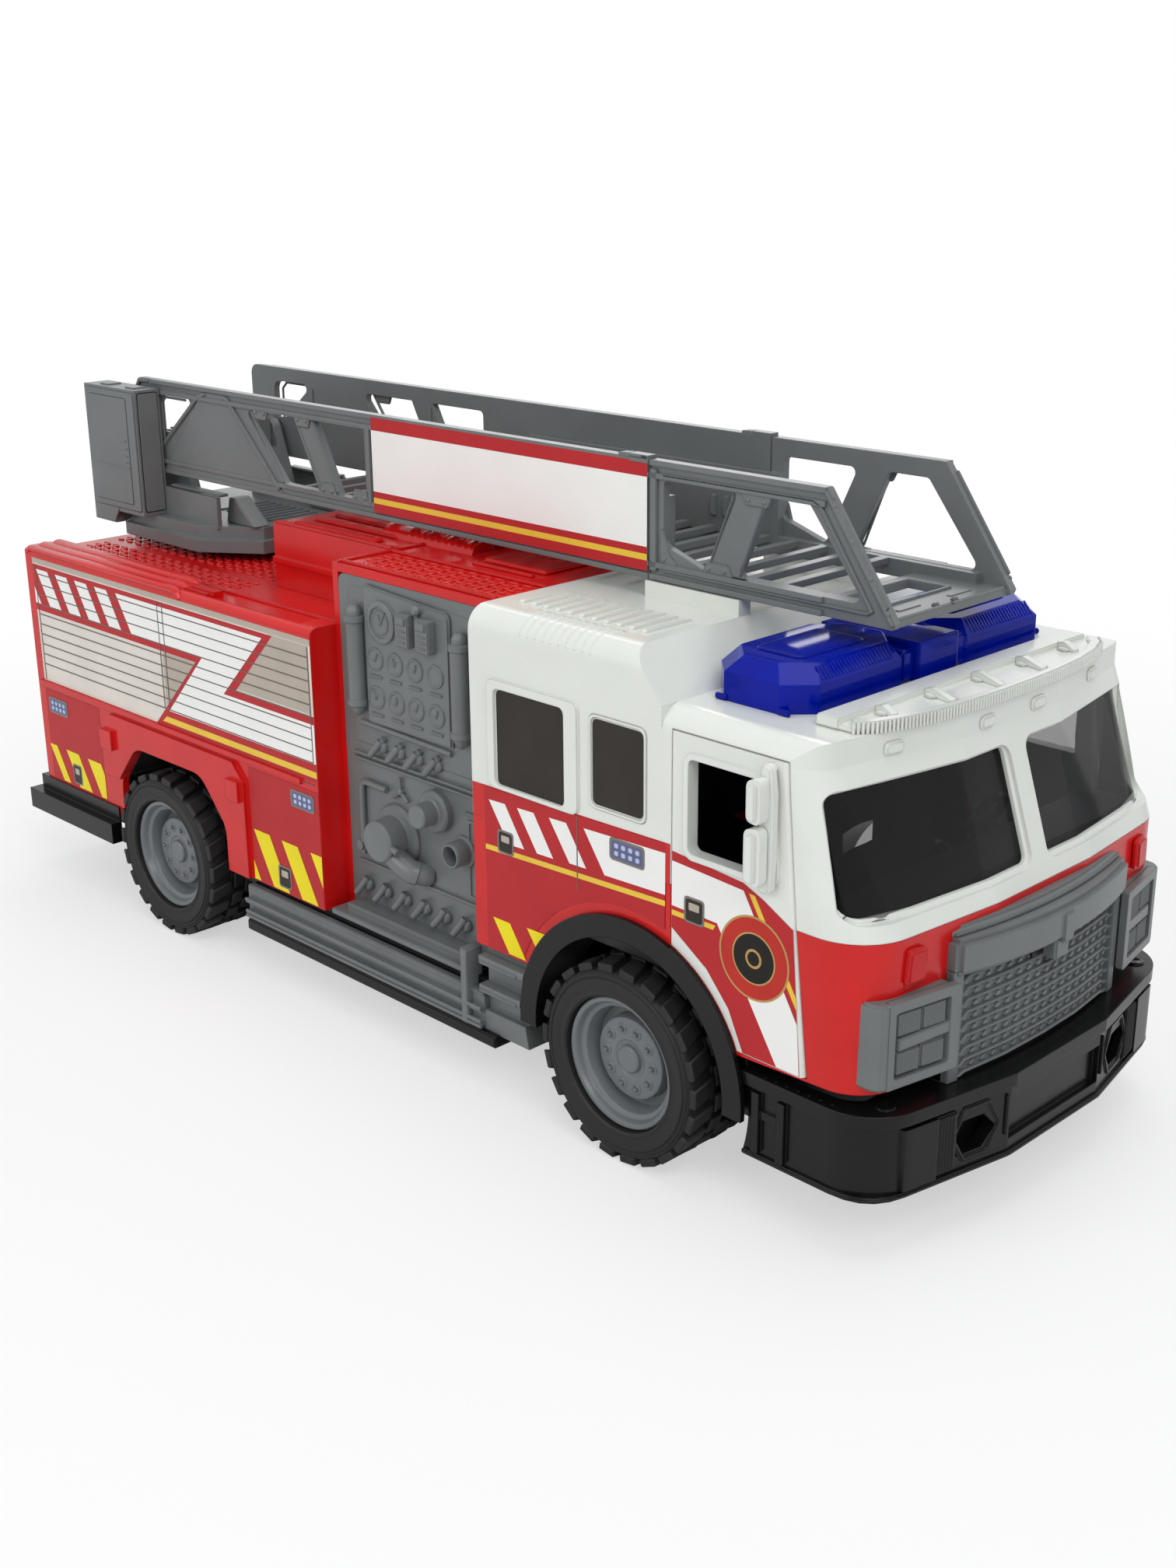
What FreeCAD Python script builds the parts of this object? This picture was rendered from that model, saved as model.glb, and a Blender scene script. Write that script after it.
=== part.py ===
import FreeCAD, Part

import math
import os
from types import SimpleNamespace

import Sketcher

# Toy ladder fire engine, millimetres. +X points forward, +Y to the vehicle's left, +Z up.
# The origin is on the floor, under the middle of the whole toy.

Vector = FreeCAD.Vector
RIGHT, LEFT = -1, 1

# name, value, what it is
DIMENSIONS = [
    ("wheelbase", 185.3, "rear axle to front axle"),
    ("rearOverhang", 80, "rear axle to the back of the rear step"),
    ("frontOverhang", 76.7, "front axle to the front of the bumper"),
    ("halfWidth", 58.4, "centre plane to the flat body sides"),
    ("wall", 2.2, "thickness of the moulded body walls"),
    ("seam", 0.3, "gap between separate mouldings that move"),
    ("joinGap", 0.05, "gap between mouldings that are snapped together"),
    ("overlap", 1, "how far a cutting or joined block runs past a face"),
    # wheels
    ("tyreRadius", 24.7, "tyre outside radius"),
    ("tyreWidth", 22.4, "tyre width"),
    ("tyreFace", 62.9, "centre plane to the outer tyre face"),
    ("tyreBore", 16.2, "tyre inside radius, on the rim"),
    ("tyreShoulder", 3.1, "width and height of the tyre's tread shoulder"),
    ("rimLip", 1.6, "tyre face in to the rim's outer lip"),
    ("rimLipWidth", 1.6, "width of the rim's lip"),
    ("rimDish", 4.5, "depth from the rim lip to the dish"),
    ("hubRadius", 10.1, "radius of the hub disc"),
    ("hubProud", 2, "how far the hub disc stands out of the dish"),
    ("capRadius", 3.3, "radius of the hub's centre cap"),
    ("capProud", 0.8, "how far the centre cap stands out of the hub"),
    ("rimBack", 1, "tyre inner face out to the rim's inner face"),
    ("axleRadius", 2, "radius of the axle rod"),
    ("runningFit", 0.08, "radial clearance of a turning shaft"),
    ("wheelClearance", 3.6, "gap between tyre and wheel arch"),
    # chassis
    ("chassisHalfWidth", 30, "centre plane to the chassis channel side"),
    ("chassisTop", 27.2, "height of the chassis deck"),
    ("chassisDeck", 3, "thickness of the chassis deck and sides"),
    ("chassisBottom", 13.2, "height of the chassis channel's lower edge"),
    ("chassisNose", 10, "cab front back to the front of the chassis"),
    ("bearingHalf", 6, "half length of an axle bearing block"),
    # rear body
    ("bodyBehind", 73.5, "rear axle back to the body's rear wall"),
    ("bodyAhead", 71.5, "rear axle forward to the body's front wall"),
    ("bodySideTop", 105.2, "height of the body's side top"),
    ("deckHeight", 103.2, "height of the tread deck"),
    ("gutterWidth", 9, "width of the ribbed top rail along each side"),
    ("gutterRib", 1.2, "width of a rib on the top rail"),
    ("gutterAhead", 20, "rear axle forward to the end of the ribbed top rail"),
    ("shutterBottom", 61.7, "height of the moulded ledge under the shutters"),
    ("ledgeDepth", 0.8, "how far the shutter ledge stands out"),
    ("ledgeHeight", 1.6, "height of the shutter ledge"),
    ("pillarWidth", 7, "width of the rounded pillar ahead of the shutters"),
    ("archFlare", 1.2, "how far the rear arch panel stands out"),
    ("flareBack", 36, "rear axle back to the rear end of the arch panel"),
    ("flareAhead", 38, "rear axle forward to the front end of the arch panel"),
    ("flareBelow", 1, "shutter ledge down to the top of the arch panel"),
    ("flareBottom", 40.7, "lower rear corner of the arch panel"),
    ("archShoulder", 15.5, "axle up to the slope of the rear arch"),
    ("archTop", 0.6, "half the flat top of the rear arch as a share of its half width"),
    ("archRound", 8, "corner radius of the rear arch"),
    ("linerThick", 1.6, "thickness of the black wheel well"),
    # rear step
    ("stepTop", 30.6, "height of the rear step"),
    ("stepBottom", 19.5, "lower edge of the rear step"),
    ("stepHalfWidth", 62, "centre plane to the rear step's side"),
    ("stepAheadEnd", 31, "rear axle back to the front end of the side step"),
    ("stepInset", 3, "how far the upper step lies inside the lower plank"),
    # pump house
    ("pumpBoxBack", 19.5, "rear axle forward to the pump box's rear face"),
    ("pumpBoxHalf", 31, "half width of the pump box"),
    ("pumpTop", 121.5, "height of the pump house roof"),
    ("pumpLedge", 112, "height of the ledge round the pump box"),
    ("reelBack", 55.5, "rear axle forward to the rear end of the hose reel"),
    ("reelLength", 37, "length of the hose reel"),
    ("reelOffset", 17, "centre plane to the middle of the hose reel"),
    ("reelRadius", 4.2, "radius of the hose reel"),
    ("panelInset", 8.4, "how far the pump panel lies inside the body side"),
    ("panelThick", 2.5, "thickness of the pump panel"),
    ("boardBottom", 79.2, "lower edge of the raised gauge board"),
    ("boardMargin", 8, "pump panel edge to the raised gauge board"),
    ("boardProud", 1.2, "how far the gauge board stands out"),
    ("inletRadius", 7.2, "radius of the large pump inlet"),
    ("inletReach", 8, "how far the pump inlets stand out"),
    ("inletHeight", 45.2, "height of the large pump inlet"),
    # sill
    ("sillBack", 35.5, "rear axle forward to the rear end of the sill"),
    ("sillTop", 24.2, "height of the grey sill"),
    ("sillBottom", 11.7, "height of the sill's lower edge"),
    ("sillStrip", 3, "height of the black strip under the sill"),
    ("sillDepth", 12, "depth of the sill from its outer face"),
    ("sillLip", 1.2, "how far the sill's ridge stands out"),
    ("treadThick", 1.8, "height of a cab step tread"),
    ("treadLow", 26, "lower edge of the lower cab step"),
    ("treadHigh", 33.7, "lower edge of the upper cab step"),
    ("treadProud", 1.6, "how far the cab step treads stand out"),
    # cab
    ("cabBehind", 51.8, "front axle back to the cab's rear wall"),
    ("cabBottom", 37.7, "height of the cab's lower edge"),
    ("cabSplit", 71.7, "height where the red lower cab meets the white upper cab"),
    ("cabBrow", 105.7, "height of the fascia's lower edge above the windscreen"),
    ("cabAhead", 68.9, "front axle forward to the cab front at the split"),
    ("cabBow", 4, "how much the cab front bows out at the split"),
    ("cabCorner", 13.5, "radius of the cab's front corners at the split"),
    ("baseBow", 3, "how much the cab front bows out at its bottom"),
    ("baseCorner", 11, "radius of the cab's front corners at its bottom"),
    ("baseInset", 2, "how far the cab's bottom front corners are drawn in"),
    ("taperStart", 31.2, "front axle forward to where the cab sides start to draw in"),
    ("browAhead", 57.7, "front axle forward to the cab front at the fascia"),
    ("browBow", 7.5, "how much the fascia bows out at its middle"),
    ("browCorner", 9, "radius of the fascia's corners"),
    ("bowFlat", 18, "half width of the straight middle of the bowed fronts"),
    ("roofRear", 122.2, "height of the raised rear roof"),
    ("roofFront", 111.2, "height of the roof under the light bar"),
    ("roofBreak", 0.2, "front axle forward to where the rear roof starts to slope"),
    ("roofSlope", 9.6, "length of the slope between the two roofs"),
    ("roofRound", 5.5, "radius along the roof's side edges"),
    ("markerOffset", 42.5, "centre plane to a red marker lamp"),
    ("markerBottom", 60.2, "lower edge of a red marker lamp"),
    ("markerSize", 7, "height and width of a red marker lamp"),
    ("markerProud", 1.5, "how far a red marker lamp stands out"),
    # windscreen
    ("glassBottom", 75.2, "lower edge of the windscreen opening"),
    ("glassTop", 101.4, "upper edge of the windscreen opening"),
    ("glassHalf", 57.1, "half width of the windscreen opening"),
    ("glassCorner", 3, "corner radius of the windscreen openings"),
    ("centrePillar", 2.9, "half width of the windscreen's centre pillar"),
    ("glassThick", 1.2, "thickness of the windscreen"),
    ("glassRebate", 2, "how far the windscreen runs past its opening"),
    # doors
    ("doorBack", 13, "front axle forward to the door's rear edge"),
    ("doorFrontTop", 44.2, "front axle forward to the door's front edge at its top"),
    ("doorFrontBottom", 50.4, "front axle forward to the door's front edge at its bottom"),
    ("doorTop", 106.7, "height of the door's top edge"),
    ("doorBottom", 38.7, "height of the door's bottom edge"),
    ("doorThick", 2.6, "thickness of the door"),
    ("doorWindowSill", 80.5, "lower edge of the door window"),
    ("doorWindowCorner", 1.5, "corner radius of the door window"),
    ("doorFrame", 5, "width of the frame round the door window"),
    # mirrors
    ("mirrorBehind", 4, "door front edge at its top back to the mirror's middle"),
    ("mirrorHalf", 2.5, "half length of the mirror head"),
    ("mirrorThick", 4, "thickness of the mirror head"),
    ("mirrorArm", 2, "height and width of a mirror arm"),
    ("mirrorReach", 2.5, "gap between the door and the mirror head"),
    ("mirrorBottom", 80.2, "lower edge of the mirror head"),
    ("mirrorTop", 106.2, "upper edge of the mirror head"),
    ("mirrorWaist", 91.2, "height of the waist between the two mirror lobes"),
    # cab interior
    ("floorThick", 2, "thickness of the cab floor"),
    ("seatBehind", 7.8, "door rear edge forward to the seat back's front"),
    ("seatOffset", 18, "centre plane to the middle of a seat"),
    ("seatHalf", 9, "half width of a seat"),
    ("seatLength", 18, "length of a seat cushion"),
    ("seatHeight", 56.2, "height of a seat cushion"),
    ("seatBackTop", 82.2, "height of a seat back"),
    ("seatBackThick", 5, "thickness of a seat back"),
    ("dashBehind", 9, "cab front back to the dashboard's front"),
    ("dashDepth", 13, "depth of the dashboard"),
    ("dashTop", 74.2, "height of the dashboard"),
    ("dashBottom", 50.2, "lower edge of the dashboard"),
    ("wheelRing", 7.5, "radius of the steering wheel"),
    ("wheelThick", 1.6, "thickness of the steering wheel"),
    ("wheelSides", 12, "sides of the steering wheel's ring"),
    ("wheelOffset", 20, "centre plane to the steering wheel"),
    ("wheelTilt", 60, "steering wheel's tilt from level, degrees"),
    ("columnLength", 7, "length of the steering column"),
    # arches
    ("archInner", 29.6, "inside radius of the black front arch"),
    ("archOuter", 35, "outside radius of the black front arch"),
    ("archProud", 1.4, "how far the front arch stands out of the side"),
    ("archDepth", 12, "depth of the front arch"),
    ("archFoot", 2, "axle down to the front arch's lower ends"),
    # bumper
    ("bumperTop", 34.6, "height of the bumper's top shelf"),
    ("bumperShelf", 3, "thickness of the bumper's top shelf"),
    ("bumperBottom", 14.2, "height of the bumper's lower edge"),
    ("bumperBack", 29.7, "front axle forward to the rear end of the bumper"),
    ("bumperCorner", 14, "radius of the bumper's front corners"),
    ("bumperBow", 8, "how much the bumper bows out at its middle"),
    ("bumperRecess", 1.2, "how far the bumper's face lies under the shelf's edge"),
    ("bumperWall", 3, "thickness of the bumper's walls"),
    # grille and headlights
    ("grilleHalf", 33, "half width of the grille"),
    ("grilleFrame", 3, "width of the grille's end frames"),
    ("grilleProud", 2.6, "how far the grille stands out of the cab front"),
    ("grilleBow", 3, "how much the grille bows out at its middle"),
    ("hoodTop", 68.2, "height of the grille's hood at its back"),
    ("hoodEdge", 66.2, "height of the hood's front edge"),
    ("hoodBottom", 59.7, "lower edge of the hood"),
    ("hoodProud", 6.5, "how far the hood stands out of the cab front"),
    ("hoodBow", 5, "how much the hood bows out at its middle"),
    ("louvreCount", 8, "louvres in the grille"),
    ("louvreThick", 0.9, "thickness of a louvre"),
    ("louvreDepth", 1.3, "how far a louvre stands out of the grille's back"),
    ("tabHalf", 2.6, "half width of the hood's centre tab"),
    ("tabBottom", 55.7, "lower end of the hood's centre tab"),
    ("lampTop", 59.2, "height of the headlight cluster"),
    ("lampBottom", 39.7, "lower edge of the headlight cluster"),
    ("lampOuter", 54.7, "centre plane to the headlight cluster's outer side"),
    ("lampBevel", 2.5, "bevel of the headlight cluster's outer corner"),
    ("lampFront", 67.4, "front axle forward to the cluster's front at its outer corner"),
    ("lampFrontInner", 71.2, "front axle forward to the cluster's front at the grille"),
    # roof fittings
    ("visorBack", 40.8, "front axle forward to the rear of the visor rack"),
    ("visorHalf", 46, "half width of the visor"),
    ("visorAhead", 59, "front axle forward to the visor's edge at its middle"),
    ("visorBow", 8, "how much the visor's edge bows out at its middle"),
    ("visorThick", 1.4, "thickness of the visor's plate"),
    ("visorRim", 2.4, "height of the visor's front rim"),
    ("visorRimWidth", 2, "width of the visor's front rim"),
    ("visorRibs", 5, "wedge ribs on the visor"),
    ("visorRibPitch", 17, "distance between the wedge ribs"),
    ("visorRibThick", 1.6, "thickness of a wedge rib"),
    ("barBack", 10, "front axle forward to the light bar's rear"),
    ("barFront", 37.1, "front axle forward to the light bar's front"),
    ("barHalf", 46, "half width of the light bar"),
    ("barShoulder", 117.6, "height where the light bar's sides start to slope"),
    ("barTop", 121.2, "height of the light bar"),
    ("barChamfer", 6, "corner chamfer of the light bar"),
    ("barSlope", 3, "how far the light bar's top slopes in"),
    ("barCentre", 7.2, "half width of the light bar's centre block"),
    # ladder rest
    ("cradleBack", 28.8, "front axle back to the rear of the ladder rests"),
    ("cradleLength", 29, "length of a ladder rest"),
    ("cradleThick", 4, "thickness of a ladder rest"),
    ("cradleProud", 1, "how far a ladder rest stands out past the ladder's side"),
    ("restGap", 0.4, "gap between the ladder and what it rests over"),
    # turntable
    ("turnBehind", 38.5, "rear axle back to the turntable's axis"),
    ("turnHalfLength", 32.5, "half length of the turntable platform"),
    ("turnHalfWidth", 29, "half width of the turntable platform"),
    ("turnChamferX", 17, "corner chamfer of the platform, lengthwise"),
    ("turnChamferY", 12, "corner chamfer of the platform, crosswise"),
    ("turnBottom", 106.2, "underside of the turntable platform"),
    ("turnStep", 3.8, "thickness of each of the platform's two steps"),
    ("turnInset", 1.5, "how far the platform's upper step lies inside the lower one"),
    ("turnGap", 0.3, "gap between the turntable's collar and the deck"),
    ("spigotRadius", 9, "radius of the turntable's spigot"),
    ("collarRadius", 14, "radius of the collar that carries the turntable"),
    ("cheekAhead", 20, "turntable axis forward to the front end of the cheek plates"),
    ("cheekHeight", 8.5, "height of the low cheek plates on the platform"),
    ("cheekThick", 1.4, "thickness of a cheek plate"),
    ("podGap", 1, "gap between the ladder's side and the control pod"),
    ("podWidth", 8.6, "width of the control pod, crosswise"),
    ("podTop", 151.9, "height of the control pod"),
    ("podLength", 28.4, "length of the control pod"),
    ("podBehind", 36.4, "turntable axis back to the rear of the control pod"),
    ("podFoot", 12, "length of the pod's foot on the platform's side"),
    # ladder
    ("ladderHalf", 22.3, "centre plane to the ladder's outer faces"),
    ("ladderBottom", 126.4, "underside of the lowered ladder"),
    ("ladderTop", 154.2, "top of the lowered ladder"),
    ("ladderBehind", 60.5, "rear axle back to the ladder's rear end"),
    ("ladderJoint", 157.1, "rear axle forward to the front of the base section"),
    ("ladderTip", 228.5, "rear axle forward to the ladder's tip at the bottom"),
    ("ladderTipTop", 208.5, "rear axle forward to the ladder's tip at the top"),
    ("railThick", 2, "thickness of the ladder's side panels"),
    ("railHeight", 4.2, "height of the ladder's top and bottom rails"),
    ("railProud", 0.7, "how far the ridges of the rails stand out"),
    ("ridgeHeight", 1.3, "height of a ridge on the rails"),
    ("trussBack", -3.5, "rear axle forward to the truss window's upper rear corner"),
    ("trussLow", 14.5, "rear axle forward to the truss window's lower rear corner"),
    ("trussFront", 51.5, "rear axle forward to the truss window's front end"),
    ("braceTop", 19.5, "rear axle forward to the brace's upper end"),
    ("braceBottom", 31, "rear axle forward to the brace's lower end"),
    ("braceWidth", 9.3, "width of a brace"),
    ("tailOpening", 12, "ladder's rear end to the rear opening"),
    ("tailOpeningLength", 20, "length of the rear opening"),
    ("windowCorner", 1.5, "corner radius of the ladder's windows"),
    ("rungPitch", 9, "distance between rungs"),
    ("rungWidth", 2.4, "width of a rung"),
    ("rungThick", 1.6, "thickness of a rung"),
    ("pivotBehind", 49.5, "rear axle back to the ladder's raising pivot"),
    ("pivotHeight", 134.2, "height of the raising pivot"),
    ("pivotPin", 2, "radius of the raising pin"),
    ("pivotBoss", 4.5, "radius of the boss round the raising pin"),
    ("earThick", 3, "thickness of the pivot brackets"),
    ("earGap", 1.5, "gap between a pivot bracket and the ladder's side"),
    ("tailStart", 64.5, "rear axle forward to the rear end of the fly's tail"),
    ("tailHeight", 17, "height of the fly's tail"),
    ("tailLift", 2.5, "ladder's underside up to the fly's tail"),
    ("slideGap", 0.35, "gap between the sliding ladder sections"),
    ("slideThick", 1.6, "thickness of the fly's tail sides"),
    ("flyPost", 4, "width of the fly's rear post"),
    ("flyWindowFront", 26.5, "fly's rear end to the lower end of the window's slope"),
    ("tipFrame", 9, "width of the ladder's tip frame"),
    ("tipPlate", 26, "length of the floor plate at the ladder's tip"),
    ("tipOpening", 10, "length of the opening in the tip's floor plate"),
    ("tipOpeningHalf", 11, "half width of the opening in the tip's floor plate"),
    ("clipLength", 6, "length of a clip on the ladder's joint"),
    ("clipThick", 0.8, "thickness of a clip on the ladder's joint"),
    ("flareSlope", 5, "corner cut of the rear arch panel"),
    ("flareBlock", 6, "length and height of the blocks on the rear arch panel"),
    ("baseLean", 1, "how far the cab's bottom front lies behind its split"),
    ("glassHalfTop", 55.8, "half width of the windscreen openings at their top"),
    ("doorTrim", 1.4, "width of the ridge round the door window"),
    ("seatCushion", 8, "thickness of a seat cushion"),
    ("floorPost", 8, "length of a post under the cab floor"),
    ("dashMargin", 9, "cab side in to the dashboard's end"),
    ("bumperRibPitch", 7, "distance between the ribs on the bumper's sides"),
    ("bumperRib", 2, "width of a rib on the bumper's sides"),
    ("bumperLamp", 40, "centre plane to the inner end of the bumper's lamp block"),
    ("bumperLampWidth", 9, "width of the bumper's lamp block"),
    ("hexInner", 22, "centre plane to the inner end of the bumper's six-sided recess"),
    ("hexWidth", 15, "width of the six-sided recess"),
    ("hexHeight", 8, "height of the six-sided recess"),
    ("lampDepth", 12, "length of the headlight cluster behind its front corner"),
    ("lampFrame", 2.2, "width of the frame round the headlight lamps"),
    ("lampRecess", 1.2, "depth of the lamps behind the cluster's face"),
    ("visorStrip", 6, "length of the smooth strip at the visor's rear"),
    ("visorDrop", 2.4, "how far the visor's rim hangs below its plate"),
    ("hoodLean", 1.3, "how far the hood's top leans back for each mm of height"),
    ("mirrorTopHalf", 2, "half length of the upper mirror lobe"),
    ("plankTop", 25.9, "height of the rear step's lower plank"),
    ("stepBaseTop", 20.3, "height of the block under the cab steps"),
    ("earSweep", 12, "half length of the room round a pivot bracket"),
]


class Size:
    """A length with its spreadsheet expression, so that sums of lengths stay bound to the sheet."""

    def __init__(self, text, value):
        self.text = text
        self.value = float(value)

    @staticmethod
    def of(other):
        return other if isinstance(other, Size) else Size(repr(other), other)

    def combine(self, sign, other, value):
        return Size(f"({self.text} {sign} {other.text})", value)

    def __add__(self, other):
        other = Size.of(other)
        return self.combine("+", other, self.value + other.value)

    def __sub__(self, other):
        other = Size.of(other)
        return self.combine("-", other, self.value - other.value)

    def __mul__(self, other):
        other = Size.of(other)
        return self.combine("*", other, self.value * other.value)

    def __truediv__(self, other):
        other = Size.of(other)
        return self.combine("/", other, self.value / other.value)

    def __radd__(self, other):
        return Size.of(other) + self

    def __rsub__(self, other):
        return Size.of(other) - self

    def __rmul__(self, other):
        return Size.of(other) * self

    def __rtruediv__(self, other):
        return Size.of(other) / self

    def __neg__(self):
        return Size.of(0) - self


doc = FreeCAD.newDocument("ToyLadderTruck")
sheet = doc.addObject("Spreadsheet::Sheet", "dims")
for row, (alias, value, meaning) in enumerate(DIMENSIONS, start=1):
    sheet.set(f"A{row}", meaning)
    sheet.set(f"B{row}", str(value))
    sheet.setAlias(f"B{row}", alias)
doc.recompute()
d = SimpleNamespace(**{alias: Size(f"dims.{alias}", sheet.get(alias)) for alias, _, _ in DIMENSIONS})

nodes = {}


def bind(obj, prop, size):
    obj.setExpression(prop, Size.of(size).text)


def place(obj, x=0, y=0, z=0):
    for axis, size in (("x", x), ("y", y), ("z", z)):
        bind(obj, f"Placement.Base.{axis}", size)
    return obj


def node(name, obj):
    """Give a finished sub-part its name."""
    obj.Label = name
    nodes[name] = obj
    return obj


def box(name, x, y, z):
    """A block between the low and high sizes of x, y and z."""
    piece = doc.addObject("Part::Box", name)
    for prop, (low, high) in (("Length", x), ("Width", y), ("Height", z)):
        bind(piece, prop, Size.of(high) - low)
    return place(piece, x[0], y[0], z[0])


TURN_AXIS = {
    "X": FreeCAD.Rotation(Vector(0, 1, 0), 90),
    "Y": FreeCAD.Rotation(Vector(1, 0, 0), -90),
    "Z": FreeCAD.Rotation(),
}


def rod(name, axis, radius, x, y, z, length):
    """A cylinder along an axis, from the point x, y, z."""
    piece = doc.addObject("Part::Cylinder", name)
    bind(piece, "Radius", radius)
    bind(piece, "Height", length)
    piece.Placement = FreeCAD.Placement(Vector(), TURN_AXIS[axis])
    return place(piece, x, y, z)


PLANES = {
    "XY": FreeCAD.Rotation(),
    "XZ": FreeCAD.Rotation(Vector(1, 0, 0), 90),
    "YZ": FreeCAD.Rotation(Vector(1, 1, 1), 120),
}


def pin(sketch, geometry, point, u, v):
    """Hold a sketch point at the sizes u, v."""
    for kind, size in (("DistanceX", u), ("DistanceY", v)):
        size = Size.of(size)
        index = sketch.addConstraint(Sketcher.Constraint(kind, -1, 1, geometry, point, size.value))
        sketch.setExpression(f"Constraints[{index}]", size.text)


def addLoop(sketch, points):
    """A closed loop of lines through points (u, v), or (u, v, radius) at a rounded corner."""
    flat = [(Size.of(p[0]), Size.of(p[1]), Size.of(p[2]) if len(p) > 2 else None) for p in points]
    corners = [Vector(u.value, v.value, 0) for u, v, _ in flat]
    count = len(flat)
    starts, ends, centres = [], [], []
    for i, (_, _, radius) in enumerate(flat):
        here, before, after = corners[i], corners[i - 1], corners[(i + 1) % count]
        if radius is None:
            starts.append(here)
            ends.append(here)
            centres.append(None)
            continue
        back, ahead = (before - here).normalize(), (after - here).normalize()
        half = back.getAngle(ahead) / 2
        reach = radius.value / math.tan(half)
        starts.append(here + ahead * reach)
        ends.append(here + back * reach)
        centres.append(here + (back + ahead).normalize() * (radius.value / math.sin(half)))
    first = sketch.GeometryCount
    for i in range(count):
        sketch.addGeometry(Part.LineSegment(starts[i], ends[(i + 1) % count]), False)
    for i, (u, v, radius) in enumerate(flat):
        line, previous = first + i, first + (i - 1) % count
        if radius is None:
            sketch.addConstraint(Sketcher.Constraint("Coincident", previous, 2, line, 1))
            pin(sketch, line, 1, u, v)
            continue
        towards = ends[i] - centres[i]
        away = starts[i] - centres[i]
        turn = towards.x * away.y - towards.y * away.x
        middle = centres[i] + (towards + away).normalize() * radius.value
        arc = sketch.addGeometry(Part.Arc(ends[i], middle, starts[i]), False)
        low, high = (1, 2) if turn > 0 else (2, 1)
        sketch.addConstraint(Sketcher.Constraint("Tangent", previous, 2, arc, low))
        sketch.addConstraint(Sketcher.Constraint("Tangent", arc, high, line, 1))
        index = sketch.addConstraint(Sketcher.Constraint("Radius", arc, radius.value))
        sketch.setExpression(f"Constraints[{index}]", radius.text)
        corner = sketch.addGeometry(Part.Point(corners[i]), True)
        pin(sketch, corner, 1, u, v)
        sketch.addConstraint(Sketcher.Constraint("PointOnObject", corner, 1, previous))
        sketch.addConstraint(Sketcher.Constraint("PointOnObject", corner, 1, line))


def outline(name, plane, loops):
    sketch = doc.addObject("Sketcher::SketchObject", name + "_outline")
    sketch.Placement = FreeCAD.Placement(Vector(), PLANES[plane])
    for points in loops:
        addLoop(sketch, points)
    return sketch


def prism(name, plane, loops, low, high):
    """Extrude closed loops in a plane from low to high along the plane's third axis."""
    sketch = outline(name, plane, loops)
    offset = {"XY": ("z", low), "XZ": ("y", high), "YZ": ("x", low)}[plane]
    bind(sketch, f"Placement.Base.{offset[0]}", offset[1])
    solid = doc.addObject("Part::Extrusion", name)
    solid.Base = sketch
    solid.DirMode = "Normal"
    solid.Solid = True
    bind(solid, "LengthFwd", Size.of(high) - low)
    return solid


def leaning(name, loops, low, high, lean):
    """Extrude a plan outline from low to high, leaning back by lean mm for each mm of height."""
    sketch = outline(name, "XY", loops)
    bind(sketch, "Placement.Base.z", low)
    solid = doc.addObject("Part::Extrusion", name)
    solid.Base = sketch
    solid.DirMode = "Custom"
    solid.Solid = True
    bind(solid, "Dir.x", -lean)
    bind(solid, "Dir.z", 1)
    slant = math.hypot(Size.of(lean).value, 1)
    bind(solid, "LengthFwd", (Size.of(high) - low) * slant)
    return solid


def turned(name, profile, x, z):
    """Revolve a profile of (y, radius) points about a crosswise axle at x, z."""
    sketch = outline(name, "YZ", [profile])
    solid = doc.addObject("Part::Revolution", name)
    solid.Source = sketch
    solid.Axis = Vector(0, 1, 0)
    solid.Angle = 360
    solid.Solid = True
    return place(solid, x, 0, z)


def fuse(name, pieces):
    joined = doc.addObject("Part::MultiFuse", name)
    joined.Shapes = pieces
    joined.Refine = True
    return joined


def cut(name, base, tools):
    result = doc.addObject("Part::Cut", name)
    result.Base = base
    result.Tool = tools[0] if len(tools) == 1 else fuse(name + "_tools", tools)
    result.Refine = True
    return result


def common(name, first, second):
    result = doc.addObject("Part::Common", name)
    result.Base = first
    result.Tool = second
    result.Refine = True
    return result


def rounded(name, base, radius, wanted):
    """Fillet the edges that a test picks."""
    doc.recompute()
    edges = [i for i, edge in enumerate(base.Shape.Edges, start=1) if wanted(edge)]
    result = doc.addObject("Part::Fillet", name)
    result.Base = base
    result.Edges = [(i, radius.value, radius.value) for i in edges]
    return result


def span(hand, inner, outer):
    """The low and high y of something between inner and outer on one side."""
    return (-outer, -inner) if hand == RIGHT else (inner, outer)


def lofted(name, lower, low, upper, high):
    """A ruled solid from a plan outline at one height to another at a greater height."""
    sections = []
    for label, loop, level in (("low", lower, low), ("high", upper, high)):
        section = outline(f"{name}_{label}", "XY", [loop])
        bind(section, "Placement.Base.z", level)
        sections.append(section)
    solid = doc.addObject("Part::Loft", name)
    solid.Sections = sections
    solid.Solid = True
    solid.Ruled = True
    return solid


SIDES = [("right", RIGHT), ("left", LEFT)]

length = d.rearOverhang + d.wheelbase + d.frontOverhang
rearAxle = d.rearOverhang - length / 2
frontAxle = rearAxle + d.wheelbase
axleHeight = d.tyreRadius
rearEnd = rearAxle - d.rearOverhang
bodyRear = rearAxle - d.bodyBehind
bodyFront = rearAxle + d.bodyAhead
cabRear = frontAxle - d.cabBehind
cabFront = frontAxle + d.cabAhead
pumpHalf = d.halfWidth - d.panelInset
tyreInner = d.tyreFace - d.tyreWidth
turnAxis = rearAxle - d.turnBehind
pivotX = rearAxle - d.pivotBehind
slideHalf = d.ladderHalf - d.railThick - d.slideGap
earHalf = d.ladderHalf - d.railThick - d.earGap


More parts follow.
